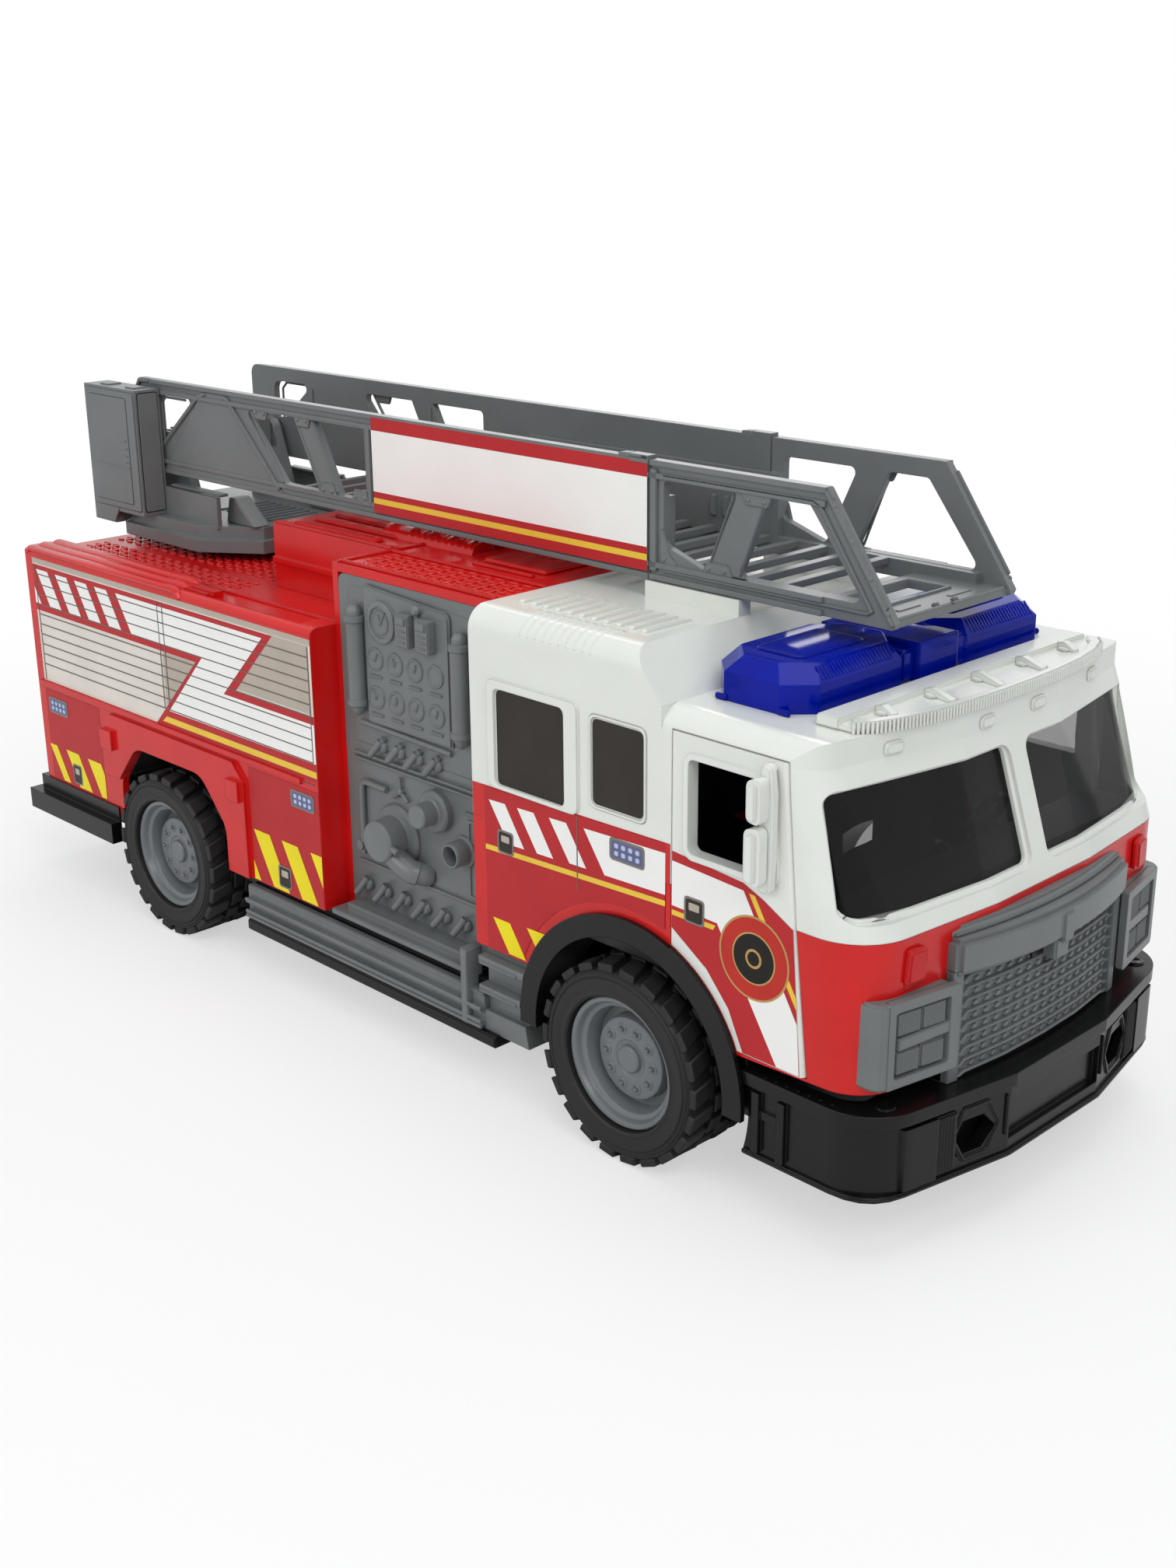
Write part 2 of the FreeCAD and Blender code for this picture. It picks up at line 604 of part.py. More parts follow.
def wheelSet(name, x):
    """An axle with its two rims and tyres."""
    rimInner = tyreInner + d.rimBack
    node(name + "_axle", rod(name + "_rod", "Y", d.axleRadius, x, -rimInner, axleHeight, 2 * rimInner))
    lip = d.tyreFace - d.rimLip
    dish = lip - d.rimDish
    hub = dish + d.hubProud
    lipRadius = d.tyreBore - d.rimLipWidth
    shoulder = d.tyreRadius - d.tyreShoulder
    for sideName, hand in SIDES:
        rim = turned(f"{name}_rim_{sideName}", [
            (hand * rimInner, 0), (hand * rimInner, d.tyreBore), (hand * lip, d.tyreBore), (hand * lip,
                    lipRadius),
            (hand * dish, lipRadius - d.rimLipWidth), (hand * dish, d.hubRadius), (hand * hub, d.hubRadius),
            (hand * hub, d.capRadius), (hand * (hub + d.capProud),
                                        d.capRadius), (hand * (hub + d.capProud), 0),
        ], x, axleHeight)
        node(f"{name}_rim_{sideName}", rim)
        grip = d.tyreBore + d.joinGap
        tyre = turned(f"{name}_tyre_{sideName}", [
            (hand * tyreInner, grip), (hand * lip, grip), (hand * d.tyreFace, grip + d.rimLip),
            (hand * d.tyreFace, shoulder), (hand * (d.tyreFace - d.tyreShoulder), d.tyreRadius),
            (hand * (tyreInner + d.tyreShoulder), d.tyreRadius), (hand * tyreInner, shoulder),
        ], x, axleHeight)
        node(f"{name}_tyre_{sideName}", tyre)


wheelSet("rear", rearAxle)
wheelSet("front", frontAxle)


def makeChassis():
    """An open tray with outriggers that carry the body, and bearings for both axles."""
    top, under, low = d.chassisTop, d.chassisTop - d.chassisDeck, d.chassisBottom
    half, side, thick = d.chassisHalfWidth, d.halfWidth - d.wall, d.chassisDeck
    wheelRoom = d.tyreRadius + d.wheelClearance
    front = cabFront - d.chassisNose
    tray = box("chassis_tray", (bodyRear, front), (-half, half), (low, top))
    room = box("chassis_channel_room", (bodyRear + thick, front - thick), (-half + thick, half - thick),
               (low + thick, top + d.overlap))
    parts = [cut("chassis_channel", tray, [room])]
    for label, back, ahead in (("rear", bodyRear, rearAxle - wheelRoom),
                               ("middle", rearAxle + wheelRoom, cabRear + d.wall)):
        for sideName, hand in SIDES:
            parts.append(box(f"chassis_outrigger_{label}_{sideName}", (back, ahead),
                             span(hand, half - d.overlap, side), (under, top)))
    bores = []
    for label, x in (("rear", rearAxle), ("front", frontAxle)):
        parts.append(box(f"chassis_bearing_{label}", (x - d.bearingHalf, x + d.bearingHalf), (-half, half),
                         (low, axleHeight + d.bearingHalf)))
        bores.append(rod(f"chassis_bore_{label}", "Y", d.axleRadius + d.runningFit, x, -half - d.overlap,
                         axleHeight,
                         2 * half + 2 * d.overlap))
    node("chassis", cut("chassis_body", fuse("chassis_solid", parts), bores))


makeChassis()


def archLoop(grow):
    """The rear arch opening: upright sides, sloped shoulders and a flat top."""
    reach = d.tyreRadius + grow
    low = d.chassisBottom - d.archRound
    shoulder, top = axleHeight + d.archShoulder, axleHeight + d.tyreRadius + grow
    flat = reach * d.archTop
    return [
        (rearAxle - reach, low), (rearAxle - reach, shoulder, d.archRound), (rearAxle - flat, top,
                d.archRound),
        (rearAxle + flat, top, d.archRound), (rearAxle + reach, shoulder, d.archRound), (rearAxle + reach,
                low),
    ]


TOLERANCE = 0.01  # how closely an edge has to lie on a face to count as on it, mm


def atTop(edge, height):
    """A long edge along the body at one height."""
    size = edge.BoundBox
    level = size.YLength < TOLERANCE and abs(size.ZMin - height.value) < TOLERANCE
    return level and size.XLength > d.gutterWidth.value


def makeRearBody():
    half, wall, over = d.halfWidth, d.wall, d.overlap
    solid = box("body_solid", (bodyRear, bodyFront), (-half, half), (d.chassisTop, d.bodySideTop))
    outer = rounded("body_outer", solid, d.wall, lambda e: atTop(e, d.bodySideTop))
    inner = box("body_inner", (bodyRear + wall, bodyFront - wall), (-half + wall, half - wall),
                (d.chassisTop - over, d.deckHeight - wall))
    well = box("body_well", (bodyRear - over, bodyFront + over),
               (-half + d.gutterWidth, half - d.gutterWidth),
               (d.deckHeight, d.bodySideTop + over))
    arch = prism("body_arch", "XZ", [archLoop(d.wheelClearance)], -half - over, half + over)
    spigot = rod("body_spigot_hole", "Z", d.spigotRadius + d.runningFit, turnAxis, 0,
                 d.deckHeight - wall - over,
                 wall + 2 * over)
    tools = [inner, well, arch, spigot]
    for sideName, hand in SIDES:
        for k in range(2):
            edge = half - d.gutterRib * (2 * k + 2)
            tools.append(box(f"body_rail_groove_{sideName}_{k}",
                             (bodyRear + wall, rearAxle + d.gutterAhead),
                             span(hand, edge - d.gutterRib, edge), (d.bodySideTop - d.gutterRib / 2,
                                     d.bodySideTop + over)))
        tools.append(box(f"body_rail_dip_{sideName}", (rearAxle + d.gutterAhead, bodyFront - d.pillarWidth),
                         span(hand, half - d.gutterWidth - over, half - wall), (d.deckHeight,
                                 d.bodySideTop + over)))
    shell = cut("body_shell", outer, tools)
    trims = []
    flareTop = d.shutterBottom - d.flareBelow
    for sideName, hand in SIDES:
        trims.append(box(f"body_ledge_{sideName}", (bodyRear + wall, bodyFront - d.pillarWidth),
                         span(hand, half - over, half + d.ledgeDepth),
                         (d.shutterBottom, d.shutterBottom + d.ledgeHeight)))
        back, ahead = rearAxle - d.flareBack, rearAxle + d.flareAhead
        slope = flareTop - d.flareSlope
        flare = prism(f"body_flare_{sideName}", "XZ", [[
            (back, d.flareBottom), (back, slope, d.windowCorner), (back + d.flareSlope, flareTop,
                    d.windowCorner),
            (ahead - d.flareSlope, flareTop, d.windowCorner), (ahead, slope, d.windowCorner), (ahead,
                    d.chassisTop),
            (rearAxle, d.chassisTop), (rearAxle, d.flareBottom),
        ]], *span(hand, half - over, half + d.archFlare))
        opening = prism(f"body_flare_opening_{sideName}", "XZ", [archLoop(d.wheelClearance)],
                        *span(hand, half - 2 * over, half + 2 * over))
        trims.append(cut(f"body_flare_trim_{sideName}", flare, [opening]))
        for k, start in enumerate((back + d.archFlare, ahead - d.archFlare - d.flareBlock)):
            trims.append(box(f"body_flare_block_{sideName}_{k}", (start, start + d.flareBlock),
                             span(hand, half, half + 2 * d.archFlare), (slope - d.flareBlock, slope)))
    node("rear_body", fuse("rear_body_moulding", [shell] + trims))


makeRearBody()


def makeWheelWells():
    """Black liners that close the body above the rear wheels."""
    inner, outer = d.chassisHalfWidth, d.halfWidth
    for sideName, hand in SIDES:
        roof = prism(f"well_roof_{sideName}", "XZ", [archLoop(d.wheelClearance + d.linerThick)],
                     *span(hand, inner + d.overlap, outer - d.wall - d.joinGap))
        room = prism(f"well_room_{sideName}", "XZ", [archLoop(d.wheelClearance)], *span(hand, inner, outer))
        low = box(f"well_trim_{sideName}", (bodyRear, bodyFront), span(hand, inner, outer),
                  (Size.of(0), d.chassisTop + d.joinGap))
        node(f"wheel_well_{sideName}", cut(f"wheel_well_shape_{sideName}", roof, [room, low]))


makeWheelWells()


def makeRearStep():
    """A plank with a narrower step on it, wrapped round the body's rear corners."""
    half, inset = d.stepHalfWidth, d.stepInset
    plank = box("step_plank", (rearEnd, rearAxle - d.stepAheadEnd), (-half, half),
                (d.stepBottom, d.plankTop))
    riser = box("step_riser", (rearEnd + inset, rearAxle - d.stepAheadEnd), (-half + inset, half - inset),
                (d.stepBottom, d.stepTop))
    room = box("step_room", (bodyRear, rearAxle), (-d.halfWidth, d.halfWidth),
               (d.stepBottom - d.overlap, d.stepTop + d.overlap))
    node("rear_step", cut("rear_step_shape", fuse("step_solid", [plank, riser]), [room]))


makeRearStep()


def makePumpHouse():
    """Roof, rear wall and raised box over the pump, with a hose reel on each side of the roof."""
    top, wall, over, half = d.pumpTop, d.wall, d.overlap, pumpHalf
    boxBack, boxHalf = rearAxle + d.pumpBoxBack, d.pumpBoxHalf
    roof = box("pump_roof", (bodyFront, cabRear), (-half, half), (top - wall, top))
    rearBox = box("pump_box", (boxBack, bodyFront + wall), (-boxHalf, boxHalf), (d.deckHeight, top))
    hollow = box("pump_box_hollow", (boxBack + wall, bodyFront + 2 * wall),
                 (-boxHalf + wall, boxHalf - wall),
                 (d.deckHeight - over, top - wall))
    rearWall = box("pump_rear_wall", (bodyFront, bodyFront + wall), (-half, half), (d.chassisTop, top))
    parts = [roof, cut("pump_box_shell", rearBox, [hollow]), rearWall]
    for sideName, hand in SIDES:
        parts.append(box(f"pump_ledge_{sideName}", (boxBack, bodyFront),
                         span(hand, boxHalf - over, boxHalf + d.ledgeDepth),
                         (d.pumpLedge - d.ledgeHeight, d.pumpLedge)))
        reel = rod(f"pump_reel_{sideName}", "X", d.reelRadius, rearAxle + d.reelBack, hand * d.reelOffset,
                   top - wall / 2,
                   d.reelLength)
        parts.append(common(f"pump_reel_top_{sideName}", reel, box(
            f"pump_reel_keep_{sideName}", (boxBack, cabRear), (-half, half), (top - wall, d.ladderBottom))))
    node("pump_house", fuse("pump_house_moulding", parts))


makePumpHouse()


# place along the panel, lift as a share of the inlet radius, size against the largest inlet
INLETS = ((0.34, 0, 1), (0.62, 0.8, 0.75), (0.82, 0, 0.45))


def makePumpPanels():
    """The grey pump panels with their gauge board and inlets, one in each side recess."""
    for sideName, hand in SIDES:
        face, inner = pumpHalf, pumpHalf - d.panelThick
        low, high = d.chassisTop, d.pumpTop - d.wall - d.joinGap
        x0, x1 = bodyFront + d.wall + d.joinGap, cabRear - d.joinGap
        margin = d.boardMargin
        parts = [
            box(f"panel_plate_{sideName}", (x0, x1), span(hand, inner, face), (low, high)),
            prism(f"panel_board_{sideName}", "XZ", [[
                (x0 + margin, d.boardBottom), (x1 - margin, d.boardBottom, d.wall), (x1 - margin,
                        high - margin / 2),
                (x0 + margin, high - margin / 2, d.archRound),
            ]], *span(hand, face - d.overlap, face + d.boardProud)),
            box(f"panel_ledge_{sideName}", (x0 + margin, x1 - margin),
                span(hand, face - d.overlap, face + 2 * d.boardProud),
                (d.boardBottom - 2 * d.ledgeHeight, d.boardBottom - d.ledgeHeight)),
        ]
        for k, (share, lift, size) in enumerate(INLETS):
            radius = d.inletRadius * size
            y0, y1 = span(hand, face - d.overlap, face + d.inletReach * size)
            x, z = x0 + (x1 - x0) * share, d.inletHeight + lift * d.inletRadius
            parts.append(rod(f"panel_inlet_{sideName}_{k}", "Y", radius, x, y0, z, y1 - y0))
            y0, y1 = span(hand, face - d.overlap, face + d.inletReach * size / 2)
            parts.append(rod(f"panel_flange_{sideName}_{k}", "Y", radius + d.boardProud, x, y0, z, y1 - y0))
        node(f"pump_panel_{sideName}", fuse(f"pump_panel_moulding_{sideName}", parts))


makePumpPanels()


def makeSills():
    """Grey sills under the pump recess, and the cab steps ahead of them."""
    lip = d.sillLip
    for sideName, hand in SIDES:
        outer, inner = d.halfWidth, d.halfWidth - d.sillDepth
        x0, x1 = rearAxle + d.sillBack, cabRear + d.wall
        stripTop = d.sillBottom + d.sillStrip
        parts = [
            box(f"sill_body_{sideName}", (x0, x1), span(hand, inner, outer), (stripTop, d.sillTop)),
            box(f"sill_strip_{sideName}", (x0 + lip, x1), span(hand, inner, outer - lip),
                (d.sillBottom, stripTop)),
        ]
        for k in range(2):
            z = stripTop + lip * (3 * k + 1)
            parts.append(box(f"sill_ridge_{sideName}_{k}", (x0, x1), span(hand, outer - lip, outer + lip),
                             (z, z + lip)))
        node(f"sill_{sideName}", fuse(f"sill_shape_{sideName}", parts))
        step0, step1 = x1 + d.joinGap, frontAxle
        treads = [
            box(f"step_back_{sideName}", (step0, step1), span(hand, inner, outer - d.treadProud),
                (stripTop, d.cabBottom - d.joinGap)),
            box(f"step_base_{sideName}", (step0, step1), span(hand, inner, outer),
                (stripTop, d.stepBaseTop)),
        ]
        for k, z in enumerate((d.treadLow, d.treadHigh)):
            treads.append(box(f"step_tread_{sideName}_{k}", (step0, step1),
                              span(hand, outer - 2 * d.treadProud, outer + d.treadProud), (z,
                                      z + d.treadThick)))
        wheel = rod(f"step_wheel_room_{sideName}", "Y", d.archOuter + d.joinGap, frontAxle, -2 * outer,
                    axleHeight, 4 * outer)
        node(f"cab_step_{sideName}",
             cut(f"cab_step_shape_{sideName}", fuse(f"cab_step_solid_{sideName}", treads),
                                         [wheel]))


makeSills()

cabBase = SimpleNamespace(front=cabFront - d.baseLean, bow=d.baseBow, corner=d.baseCorner, draw=d.baseInset)
cabWaist = SimpleNamespace(front=cabFront, bow=d.cabBow, corner=d.cabCorner, draw=Size.of(0))
cabCrown = SimpleNamespace(front=frontAxle + d.browAhead, bow=d.browBow, corner=d.browCorner,
                           draw=Size.of(0))


def bowed(rear, front, bow, half, side, corner):
    """A plan outline with a front that bows out in the middle, and rounded front corners."""
    return [
        (rear, -side), (front - bow, -half, corner), (front, -d.bowFlat), (front, d.bowFlat),
        (front - bow, half, corner), (rear, side),
    ]


def cabPlan(level, inset):
    """The cab's outline at one level, seen from above and pulled in by inset."""
    side = d.halfWidth - inset
    loop = bowed(frontAxle + d.taperStart, level.front - inset, level.bow, side - level.draw, side,
                 level.corner - inset)
    return [(cabRear + inset, -side)] + loop + [(cabRear + inset, side)]


def doorLoop(grow):
    """Door outline: upright rear edge and raked front edge."""
    back, low, high = frontAxle + d.doorBack - grow, d.doorBottom - grow, d.doorTop + grow
    return [
        (back, low), (frontAxle + d.doorFrontBottom + grow, low),
        (frontAxle + d.doorFrontTop + grow, high), (back, high),
    ]


def doorTools(name, grow):
    """What the door openings take out of the cab."""
    half = d.halfWidth + d.overlap
    opening = prism(f"{name}_outline", "XZ", [doorLoop(grow)], -half, half)
    arch = rod(f"{name}_arch", "Y", d.archOuter + d.seam - grow, frontAxle, -half, axleHeight, 2 * half)
    return cut(name, opening, [arch])


def makeCabLower():
    """The red lower cab: a shell drawn in towards its bottom front corners, with two marker lamps."""
    low, high, zero = d.cabBottom, d.cabSplit - d.joinGap, Size.of(0)
    outer = lofted("cab_lower_outer", cabPlan(cabBase, zero), low, cabPlan(cabWaist, zero), high)
    inner = lofted("cab_lower_inner", cabPlan(cabBase, d.wall), low - d.overlap, cabPlan(cabWaist, d.wall),
                   high + d.overlap)
    arch = rod("cab_lower_arch", "Y", d.archInner + d.overlap, frontAxle, -2 * d.halfWidth, axleHeight,
               4 * d.halfWidth)
    shell = cut("cab_lower_shell", outer, [inner, arch, doorTools("cab_lower_doors", d.seam)])
    markers = []
    half, front = d.markerSize / 2, cabFront - d.cabBow + d.markerProud
    for sideName, hand in SIDES:
        markers.append(box(f"marker_{sideName}", (front - 2 * d.wall, front),
                           span(hand, d.markerOffset - half, d.markerOffset + half),
                           (d.markerBottom, d.markerBottom + d.markerSize)))
    node("cab_lower", fuse("cab_lower_moulding", [shell] + markers))


def crossProfile(inset, low, high, round):
    """A cab section seen from the front, with rounded roof edges."""
    half = d.halfWidth - inset
    return [(-half, low), (half, low), (half, high - inset, round), (-half, high - inset, round)]


def cabShape(name, inset, low, round):
    """The upper cab as a solid: a bowed front under a low roof, and a raised rear roof that slopes down to it."""
    high = d.roofRear + d.overlap
    slopeEnd = frontAxle + d.roofBreak + d.roofSlope
    front = common(f"{name}_front",
                   lofted(f"{name}_screen", cabPlan(cabWaist, inset), low, cabPlan(cabCrown, inset),
                          d.cabBrow),
                   prism(f"{name}_front_profile", "YZ", [crossProfile(inset, low, d.roofFront, round)],
                         cabRear, cabFront))
    brow = common(f"{name}_brow",
                  prism(f"{name}_brow_plan", "XY", [cabPlan(cabCrown, inset)], d.cabBrow - d.joinGap, high),
                  prism(f"{name}_brow_profile", "YZ", [crossProfile(inset, low, d.roofFront, round)],
                        cabRear, cabFront))
    rear = common(f"{name}_rear",
                  prism(f"{name}_rear_profile", "YZ", [crossProfile(inset, low, d.roofRear, round)],
                                        cabRear + inset, slopeEnd),
                  prism(f"{name}_rear_side", "XZ", [[
                      (cabRear, low), (slopeEnd, low), (slopeEnd, d.roofFront - inset),
                      (frontAxle + d.roofBreak, d.roofRear - inset), (cabRear, d.roofRear - inset),
                  ]], -d.halfWidth, d.halfWidth))
    return fuse(name, [front, brow, rear])


def makeCabUpper():
    """The white upper cab with windscreen and door openings, roof vents and the two ladder rests."""
    low = d.cabSplit
    tools = [cabShape("cab_upper_room", d.wall, low, d.roofRound - d.wall),
             doorTools("cab_upper_doors", d.seam)]
    for sideName, hand in SIDES:
        tools.append(prism(f"windscreen_opening_{sideName}", "YZ", [[
            (hand * d.centrePillar, d.glassBottom, d.glassCorner), (hand * d.glassHalf, d.glassBottom,
                    d.glassCorner),
            (hand * d.glassHalfTop, d.glassTop, d.glassCorner), (hand * d.centrePillar, d.glassTop,
                    d.glassCorner),
        ]], frontAxle + d.doorFrontTop + d.overlap, cabFront))
    solid = cabShape("cab_upper_solid", Size.of(0), low, d.roofRound)
    shell = cut("cab_upper_shell", solid, tools)
    rests = []
    start = frontAxle - d.cradleBack
    for sideName, hand in SIDES:
        outer = d.ladderHalf + d.cradleProud
        rests.append(box(f"ladder_rest_{sideName}", (start, start + d.cradleLength),
                         span(hand, outer - d.cradleThick, outer),
                         (d.roofRear - d.overlap, d.ladderBottom - d.restGap)))
    node("cab_upper", fuse("cab_upper_moulding", [shell] + rests))


makeCabLower()
makeCabUpper()


def makeWindscreen():
    """The smoked glass behind both windscreen openings."""
    low, high = d.glassBottom - d.glassRebate, d.glassTop + d.glassRebate
    outer, inner = d.wall + d.joinGap, d.wall + d.joinGap + d.glassThick
    skin = lofted("windscreen_skin", cabPlan(cabWaist, outer), d.cabSplit, cabPlan(cabCrown, outer),
                  d.cabBrow)
    room = lofted("windscreen_room", cabPlan(cabWaist, inner), d.cabSplit, cabPlan(cabCrown, inner),
                  d.cabBrow)
    keep = box("windscreen_limit", (frontAxle + d.doorFrontBottom - d.glassRebate, cabFront),
               (-d.halfWidth, d.halfWidth), (low, high))
    node("windscreen", common("windscreen_pane", cut("windscreen_shell", skin, [room]), keep))


makeWindscreen()


def isRakedEdge(edge):
    """The two long front edges of a door, which lean back."""
    size = edge.BoundBox
    front = (frontAxle + d.doorFrontTop - d.overlap).value
    return (size.ZLength > d.doorFrame.value and size.XLength > d.doorThick.value / 2
            and size.YLength < TOLERANCE and size.XMin > front)


def doorWindow(grow):
    """The door window's outline, pushed out by grow."""
    rake = (d.doorFrontBottom - d.doorFrontTop) / (d.doorTop - d.doorBottom)
    frame, sill, top = d.doorFrame - grow, d.doorWindowSill - grow, d.doorTop - d.doorFrame + grow
    back, front = frontAxle + d.doorBack + frame, frontAxle + d.doorFrontBottom - frame
    corner = d.doorWindowCorner + grow
    return [
        (back, sill, corner), (front - rake * (sill - d.doorBottom), sill, corner),
        (front - rake * (top - d.doorBottom), top, corner), (back, top, corner),
    ]


def makeDoors():
    """Two flat doors hinged along their raked front edges, each with a two-lobed mirror."""
    for sideName, hand in SIDES:
        outer, half = d.halfWidth, 2 * d.halfWidth
        blank = prism(f"door_blank_{sideName}", "XZ", [doorLoop(Size.of(0))],
                      *span(hand, outer - d.doorThick, outer))
        arch = rod(f"door_arch_{sideName}", "Y", d.archOuter + d.seam, frontAxle, -half, axleHeight,
                   2 * half)
        panel = cut(f"door_panel_{sideName}", blank, [arch])
        door = rounded(f"door_rounded_{sideName}", panel, d.doorThick / 2 - d.joinGap / 2, isRakedEdge)
        frame = prism(f"door_frame_{sideName}", "XZ", [doorWindow(d.doorTrim)],
                      *span(hand, outer - d.overlap, outer + d.doorTrim / 2))
        window = prism(f"door_window_{sideName}", "XZ", [doorWindow(Size.of(0))],
                       *span(hand, outer - 2 * d.doorThick, outer + d.doorThick))
        node(f"door_{sideName}",
             cut(f"door_shape_{sideName}", fuse(f"door_solid_{sideName}", [door, frame]), [window]))
        x, reach, arm = frontAxle + d.doorFrontTop - d.mirrorBehind, outer + d.mirrorReach, d.mirrorArm
        half, narrow, corner = d.mirrorHalf, d.mirrorTopHalf, d.mirrorArm / 2
        low, waist, high = d.mirrorBottom, d.mirrorWaist, d.mirrorTop
        parts = [
            prism(f"mirror_head_{sideName}", "XZ", [[
                (x - half, low, corner), (x + half, low, corner), (x + half, waist, corner), (x - half,
                        waist, corner),
            ]], *span(hand, reach, reach + d.mirrorThick)),
            prism(f"mirror_top_{sideName}", "XZ", [[
                (x - narrow, waist + arm, corner), (x + narrow, waist + arm, corner), (x + narrow, high,
                        corner),
                (x - narrow, high, corner),
            ]], *span(hand, reach, reach + d.mirrorThick)),
            box(f"mirror_spine_{sideName}", (x, x + arm), span(hand, reach, reach + arm),
                (low - arm, high)),
        ]
        for label, z, foot in (("low", low - arm, outer + d.doorTrim / 2), ("high", high - arm, outer)):
            parts.append(box(f"mirror_arm_{label}_{sideName}", (x, x + arm),
                             span(hand, foot + d.joinGap, reach + arm),
                             (z, z + arm)))
        node(f"mirror_{sideName}", fuse(f"mirror_shape_{sideName}", parts))


makeDoors()


def makeCabInterior():
    """Floor on two posts, two seats, a dashboard across the cab and the steering wheel on the left."""
    low = d.seatHeight - d.seatCushion
    post, deep, thick = d.seatHalf, d.floorPost, d.floorThick
    front = cabFront - d.dashBehind
    frame = box("floor_plate", (cabRear + d.wall + d.joinGap, front),
                (-d.chassisHalfWidth, d.chassisHalfWidth),
                (low - thick, low))
    posts = [box(f"floor_post_{k}", (x, x + deep), (-post, post), (d.chassisTop, low))
             for k, x in enumerate((cabRear + deep, front - 2 * deep))]
    node("cab_floor", fuse("cab_floor_shape", [frame] + posts))
    seats = []
    x = frontAxle + d.doorBack + d.seatBehind
    for sideName, hand in SIDES:
        y = span(hand, d.seatOffset - d.seatHalf, d.seatOffset + d.seatHalf)
        seats.append(box(f"seat_cushion_{sideName}", (x - d.seatBackThick, x + d.seatLength), y,
                         (low, d.seatHeight)))
        seats.append(box(f"seat_back_{sideName}", (x - d.seatBackThick, x), y, (low, d.seatBackTop)))
    node("seats", fuse("seats_shape", seats))
    back, half = front - d.dashDepth, d.halfWidth - d.dashMargin
    node("dashboard", prism("dashboard", "XZ", [[
        (front, low + d.joinGap), (front, d.dashTop), (back, d.dashTop), (back,
                d.dashBottom), (front - d.dashDepth / 2, low + d.joinGap),
    ]], -half, half))
    wheelX, wheelZ = back - d.columnLength, d.dashTop - d.wheelThick
    tilt = FreeCAD.Rotation(Vector(0, 1, 0), -d.wheelTilt.value)
    parts = []
    for label, radius, reach in (("ring", d.wheelRing, d.wheelThick),
                                 ("room", d.wheelRing - d.wheelThick, 2 * d.wheelThick),
                                 ("column", d.wheelThick, -d.columnLength)):
        piece = doc.addObject("Part::Prism", f"steering_{label}")
        bind(piece, "Polygon", d.wheelSides)
        bind(piece, "Circumradius", radius)
        bind(piece, "Height", Size.of(abs(reach.value)))
        turn = tilt if reach.value > 0 else FreeCAD.Rotation(Vector(0, 1, 0), 180 - d.wheelTilt.value)
        piece.Placement = FreeCAD.Placement(Vector(), turn)
        parts.append(place(piece, wheelX, d.wheelOffset, wheelZ))
    spoke = doc.addObject("Part::Box", "steering_spoke")
    bind(spoke, "Length", d.wheelThick)
    bind(spoke, "Width", 2 * d.wheelRing - d.wheelThick)
    bind(spoke, "Height", d.wheelThick)
    spoke.Placement = FreeCAD.Placement(Vector(), tilt)
    place(spoke, wheelX, d.wheelOffset - d.wheelRing + d.wheelThick / 2, wheelZ)
    ring = cut("steering_rim", parts[0], [parts[1]])
    node("steering_wheel", fuse("steering_wheel_shape", [ring, spoke, parts[2]]))


makeCabInterior()


def makeArches():
    """Black arch rings set in the cab sides over the front wheels."""
    reach, low, over = 2 * d.archOuter, axleHeight - d.archFoot, d.overlap
    for sideName, hand in SIDES:
        y0, y1 = span(hand, d.halfWidth - d.archDepth, d.halfWidth + d.archProud)
        outer = rod(f"arch_outer_{sideName}", "Y", d.archOuter, frontAxle, y0, axleHeight, y1 - y0)
        inner = rod(f"arch_inner_{sideName}", "Y", d.archInner, frontAxle, y0 - over, axleHeight,
                    y1 - y0 + 2 * over)
        trim = box(f"arch_trim_{sideName}", (frontAxle - reach, frontAxle + reach), (y0 - over, y1 + over),
                   (low - reach, low))
        skin = box(f"arch_skin_{sideName}", (frontAxle - reach, frontAxle + reach),
                   span(hand, d.halfWidth - d.wall - d.joinGap, d.halfWidth + d.joinGap), (Size.of(0),
                           d.cabSplit))
        bore = rod(f"arch_step_{sideName}", "Y", d.archInner + over - d.joinGap, frontAxle,
                   -2 * d.halfWidth,
                   axleHeight, 4 * d.halfWidth)
        groove = cut(f"arch_groove_{sideName}", skin, [bore])
        node(f"front_arch_{sideName}", cut(f"front_arch_shape_{sideName}", outer, [inner, trim, groove]))


makeArches()


def bumperPlan(inset):
    return bowed(frontAxle + d.bumperBack, frontAxle + d.frontOverhang - inset, d.bumperBow,
                 d.halfWidth - inset,
                 d.halfWidth - inset, d.bumperCorner - inset)


